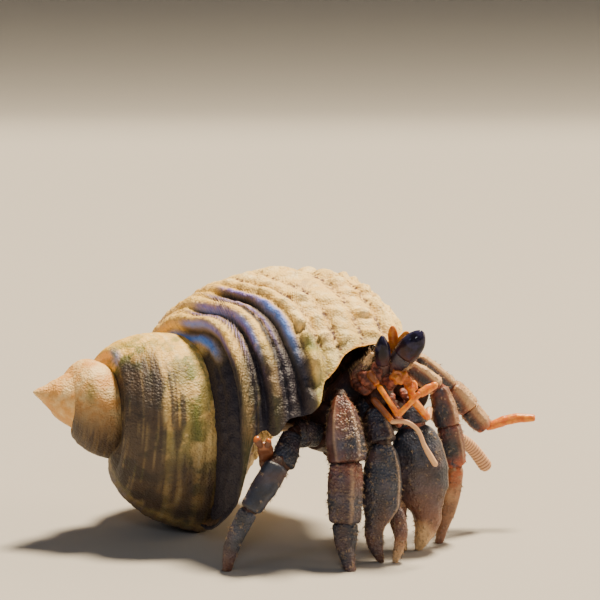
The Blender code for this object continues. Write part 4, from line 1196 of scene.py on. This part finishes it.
def feeler(path, wide, deep, red=(0, 0), pale=0.0, rope=0.0, rings=40, sides=24, knobs=0.0,
           stain=0.0, **shape):
    """Thin jointed limb: a tube moved outward by knobs x noise, less a shallow cut at each whole number of
    t x length x rope.  Red tints its ends, and the dents between knobs as painted shade; stain is how brown
    it is away from its end."""
    shape.setdefault("reach", 0.18)
    points, t, _, _, centre = tube(path, wide, deep, rings=rings, sides=sides, box=2, **shape)
    away = outward(points, centre)
    lumps = smooth_noise(points, 0.55, 61) - 0.5
    length = np.linalg.norm(np.diff(centre, axis=0), axis=1).sum()
    wave = (t * length * rope) % 1
    rings_cut = (hump(wave, 0.0, 0.3) + hump(wave, 1.0, 0.3)) * (rope > 0)
    points = points + (knobs * lumps - 0.06 * rings_cut)[..., None] * away
    tint = np.maximum(red[0] * (1 - step(t, 0, 0.35)), red[1] * step(t, 0.65, 1))
    # painted shade: a darker red in the dents between knobs
    tint = np.clip(tint + (2.2 * knobs * -lumps), 0, 1)
    brown = np.maximum(0.8 * rings_cut, stain * (1 - 0.6 * step(t, 0.6, 0.95)))
    return points, {"red": tint, "pale": np.full_like(t, pale), "ring": brown}


BULB = dict(rings=60, sides=44)
LEG_4 = dict(knobs=0.3, rings=60, sides=40)
BLUNT_ENDS = dict(cap=(0.1, 0.1))
print("a feeler of 40 rings by 24 sides has", 2 * 39 * 24, "triangles")

# %% Antennules, antennae and small legs
antennules = [
    feeler(((7.9, -17.0, 23.7), (8.8, -17.5, 22.4)), (0.42, 0.46, 0.4), (0.42, 0.44, 0.36), (0.5, 0.2),
           knobs=0.2, stain=0.95),
    feeler(((9.0, -17.6, 22.2), (11.1, -18.9, 19.2)), (0.35, 0.3, 0.37), (0.33, 0.29, 0.35), (0, 0.1),
           **BLUNT_ENDS),
    feeler(((11.2, -18.9, 19.2), (13.6, -18.6, 21.6)), (0.37, 0.3, 0.36), (0.36, 0.3, 0.34), (0, 0.9),
           **BLUNT_ENDS),
    feeler(((13.55, -18.55, 21.5), (15.5, -18.0, 22.55)), (0.5, 0.5, 0.36), (0.4, 0.36, 0.28), (0.9, 0.1),
           knobs=0.15),
    feeler(((10.5, -16.3, 23.5), (11.9, -16.9, 22.9)), (0.62, 0.72, 0.5), (0.48, 0.55, 0.42), (1.0, 1.0),
           0.1, knobs=0.8, stain=0.45, **BULB),
    feeler(((11.6, -16.6, 23.3), (12.7, -16.8, 22.2)), (0.5, 0.6, 0.46), (0.42, 0.46, 0.42), (0.8, 0.8),
           knobs=0.65, stain=0.6, **BULB),
    feeler(((12.2, -16.5, 22.6), (13.2, -16.6, 21.6)), (0.45, 0.6, 0.45), (0.45, 0.5, 0.45), (0.3, 0.4),
           knobs=0.4, **BULB),
    feeler(((10.5, -14.0, 23.4), (10.8, -14.4, 25.9)), (0.4, 0.42, 0.5), (0.3, 0.3, 0.3)),
    feeler(((10.85, -14.45, 25.7), (10.7, -15.0, 27.3), (10.6, -15.3, 28.7)), (0.4, 0.58, 0.6, 0.35),
           (0.26, 0.3, 0.3, 0.2), (0.1, 0.35), rings=60, stain=0.45),
    feeler(((10.95, -14.6, 25.8), (11.7, -15.2, 27.2), (12.3, -15.5, 28.1)), (0.35, 0.55, 0.35),
           (0.22, 0.26, 0.18), (0, 0.1), rings=60, stain=0.3)]
antennae = [
    feeler(((8.3, -17.0, 20.7), (10.5, -18.2, 18.3)), (0.42, 0.38, 0.36), (0.38, 0.34, 0.34), (0.4, 0.4),
           stain=1.0),
    feeler(((10.4, -18.2, 18.25), (12.3, -18.6, 18.2), (13.2, -18.9, 17.6), (14.2, -18.8, 15.5),
            (15.5, -18.3, 13.2)), (0.31, 0.28, 0.26, 0.26, 0.34, 0.34), (0.28, 0.25, 0.25, 0.26, 0.3),
           (0.3, 0), 0.8, 0, 150, 20, cap=(0.04, 0.05)),
    feeler(((12.5, -16.3, 22.4), (13.0, -16.3, 20.3)), (0.5, 0.44, 0.46), (0.4, 0.38, 0.4), (0.1, 0.2)),
    feeler(((13.1, -16.3, 20.2), (14.8, -14.9, 18.0)), (0.45, 0.42, 0.42), (0.38, 0.36, 0.36), (0.2, 0.1)),
    feeler(((14.8, -14.9, 18.0), (15.15, -11.5, 18.3), (15.45, -8.9, 17.4), (16.9, -7.4, 15.8),
            (18.6, -6.7, 14.3), (20.5, -5.2, 12.6), (22.8, -3.8, 9.5)), (0.4, 0.45, 0.6, 0.78, 0.85),
           (0.36, 0.4, 0.48, 0.56, 0.55), (0, 0), 0.75, 2.3, 420, 28, cap=(0.03, 0.05))]
small_legs = [
    feeler(((22.7, -1.75, 14.2), (25.9, -1.5, 15.2), (28.65, -1.5, 15.35)), (0.46, 0.62, 0.6, 0.42),
           (0.46, 0.55, 0.55, 0.4), (0.7, 0.15), 0.0, 0.0, 90, 40, knobs=0.1, blunt=3.0, cap=(0.08, 0.06),
           reach=0.1),
    feeler(((-3.7, -19.6, 12.4), (-3.8, -21.0, 14.9), (-4.0, -22.4, 16.6)), (0.75, 0.9, 0.8),
           (0.52, 0.58, 0.5), (0, 0.6), 0.3, stain=1.9, **LEG_4),
    feeler(((-4.3, -22.3, 16.2), (-4.9, -22.7, 17.2)), (0.36, 0.44, 0.36), (0.3, 0.36, 0.3), (0.7, 0.7),
           knobs=0.2, stain=1.3),
    feeler(((-3.7, -22.4, 16.2), (-3.5, -22.8, 17.1)), (0.32, 0.4, 0.32), (0.3, 0.36, 0.3), (0.7, 0.7),
           knobs=0.2, stain=1.3),
    feeler(((9.6, -3.4, 17.2), (10.8, -1.0, 19.4), (10.6, 0.8, 21.4)), (0.7, 0.85, 0.8), (0.5, 0.55, 0.48),
           (0, 0.6), 0.3, stain=1.0, **LEG_4)]
joined("feelers", antennules + antennae + small_legs, feeler_chitin,
       ["antennule_right_base", "antennule_right_middle", "antennule_right_end", "antennule_right_tip",
        "antennule_left_base", "antennule_left_end", "antennule_left_tip", "antenna_right_stem",
        "antenna_right_whip", "antenna_left_stem", "antenna_left_joint", "antenna_left_whip",
        "leg_3_left_dactyl", "leg_4_right", "leg_4_left"])

# %% [markdown]
# ## Bristles
# Each granule carries a tuft of stiff bristles that lean toward the tip of the limb.  A bristle is a
# thin three-sided cone with one bend, real mesh, and all of them are one piece.  Their map puts each
# tuft on a patch at its root's place on the plates' own unwrap, eight plates to a side.

# %% Bristle mesh
TUFT, BRISTLE_RADIUS, TUFT_PATCH = 3, 0.018, 0.003
rng = np.random.default_rng(77)
gathered = [np.concatenate(kind) for kind in zip(*ROOTS)]
root, out, along, place, length = (np.repeat(kind, TUFT, 0) for kind in gathered)
count = len(root)
spread = rng.random((count, 3)) - 0.5
lean = 0.7 * out + 0.7 * along + 1.1 * spread
lean /= np.linalg.norm(lean, axis=1)[:, None]
tipward = lean + 0.4 * along
tipward /= np.linalg.norm(tipward, axis=1)[:, None]
side_a = np.cross(lean, rng.random((count, 3)) - 0.5)
side_a /= np.maximum(np.linalg.norm(side_a, axis=1), 1e-9)[:, None]
side_b = np.cross(lean, side_a)
corner = np.radians(120 * np.arange(3))
spoke = np.cos(corner)[None, :, None] * side_a[:, None] + np.sin(corner)[None, :, None] * side_b[:, None]
foot = root - 0.04 * out + 0.05 * spread
bend = foot + 0.55 * length[:, None] * lean
tip = bend + 0.45 * length[:, None] * tipward
bristle_points = np.concatenate([foot[:, None] + BRISTLE_RADIUS * spoke,
                                 bend[:, None] + 0.7 * BRISTLE_RADIUS * spoke, tip[:, None]], axis=1)
# one bristle's points: 0 to 2 round the foot, 3 to 5 round the bend, 6 at the tip
cone = [(0, 2, 1)]
for k in range(3):
    m = (k + 1) % 3
    cone += [(k, m, 3 + m), (k, 3 + m, 3 + k), (3 + k, 3 + m, 6)]
bristle_faces = (np.array(cone)[None] + 7 * np.arange(count)[:, None, None]).reshape(-1, 3)
patch = TUFT_PATCH / 2 * np.array([(-1, -1), (1, -1), (0, -0.6), (-0.6, 0), (0.6, 0), (0, 0.2), (0, 1)])
bristle_uv = (place[:, None] + patch[None]).reshape(-1, 2)
# Stiff drawn bristles of clear chitin: amber where light passes, so each tuft edges its plate with light.
bristle_chitin = finish("bristle_chitin_stiff", 0.45, "#5A4130",
                        (("#BF9E74", ALL, 1.0, 1.2, (0.35, 0.65), CLOUDS),), IOR=1.55)
make_piece("bristles", bristle_points, bristle_faces, bristle_chitin,
           uv=("OFBake", bristle_uv))

# %% [markdown]
# ## Floor and camera
# A pale paper sweep has no edge behind the crab, so nothing draws the eye from it.  The camera stands
# where the crab's right side faces it and looks down by eight degrees, through a long lens that keeps
# the far legs nearly as large as the near ones.

# %% Floor
FLOOR_SIDE, SWEEP_START, SWEEP_RADIUS, WALL_TOP = 6.0, 1.0, 0.7, 3.0
bend_angle = np.linspace(0, math.pi / 2, 24)
curve_y = SWEEP_START + SWEEP_RADIUS * np.sin(bend_angle)
curve_z = SWEEP_RADIUS * (1 - np.cos(bend_angle))
sweep_y = np.concatenate([[-FLOOR_SIDE], curve_y, curve_y[-1:]])
sweep_z = np.concatenate([[0], curve_z, [WALL_TOP]])
floor_points = [(x, y, z) for y, z in zip(sweep_y, sweep_z) for x in (-FLOOR_SIDE, FLOOR_SIDE)]
floor_mesh = bpy.data.meshes.new("floor")
floor_mesh.from_pydata(floor_points, [], grid_faces(len(sweep_y), 2).tolist())
floor_mesh.shade_smooth()
floor = bpy.data.objects.new("floor", floor_mesh)
bpy.context.scene.collection.objects.link(floor)
# rolled uncoated paper: no mirror at all, only a soft shadow that seats the crab
floor_mesh.materials.append(finish("plain_rolled_paper", 0.9, "#A8A49D"))
print("the paper starts to rise", SWEEP_START, "m behind the crab")

# %% Camera
CAMERA_TILT, CAMERA_AWAY, AIM_HEIGHT = math.radians(8), 250.0, 29.68
lens = bpy.data.cameras.new("camera")
lens.lens, lens.sensor_width, lens.clip_start, lens.clip_end = 123.0, 36.0, 0.01, 10.0
camera = bpy.data.objects.new("camera", lens)
bpy.context.scene.collection.objects.link(camera)
aim = np.array((0, 0, AIM_HEIGHT)) - CENTRE
stand_back = CAMERA_AWAY * np.array((0, -math.cos(CAMERA_TILT), math.sin(CAMERA_TILT)))
camera.location = ((aim + stand_back) * MM).tolist()
camera.rotation_euler = (math.pi / 2 - CAMERA_TILT, 0, 0)
bpy.context.scene.camera = camera
print("camera at", [round(place, 3) for place in camera.location], "m")

# %% [markdown]
# ## Lights
# A warm sun stands high and a little behind, so the crests and the backs of the legs are lit and the
# near faces lie in shade, where the plates' own blue-black shows.  Small lamps fill the shade and put
# hard glints on the corneas.

# %% Lights


def area_light(name, at, aim, size, watts, colour):
    """A square soft light at a place, facing a point; places in metres."""
    data = bpy.data.lights.new(name, "AREA")
    data.size, data.energy, data.color = size, watts, hex_colour(colour)[:3]
    lamp = bpy.data.objects.new(name, data)
    bpy.context.scene.collection.objects.link(lamp)
    lamp.location = at
    lamp.rotation_euler = (Vector(aim) - Vector(at)).to_track_quat("-Z", "Y").to_euler()


key = bpy.data.lights.new("key", "SUN")
key.energy, key.angle, key.color = 11.5, math.radians(12), hex_colour("#FFEBCB")[:3]
key_lamp = bpy.data.objects.new("key", key)
bpy.context.scene.collection.objects.link(key_lamp)
key_lamp.rotation_euler = (math.radians(-12), math.radians(12), 0)
area_light("fill", (-0.28, -0.36, 0.24), (0, 0, 0.015), 0.07, 0.13, "#C8DAFF")
area_light("side", (0.45, 0.05, 0.16), (0, 0, 0.02), 0.25, 1.6, "#FFE3BE")
area_light("glint", (0.03, -0.45, 0.24), (0, 0, 0.02), 0.05, 0.28, "#F4F8FF")
world = bpy.data.worlds.new("studio")
world.use_nodes = True
world.node_tree.nodes["Background"].inputs[0].default_value = hex_colour("#E6EAF0")
world.node_tree.nodes["Background"].inputs[1].default_value = 0.18
bpy.context.scene.world = world
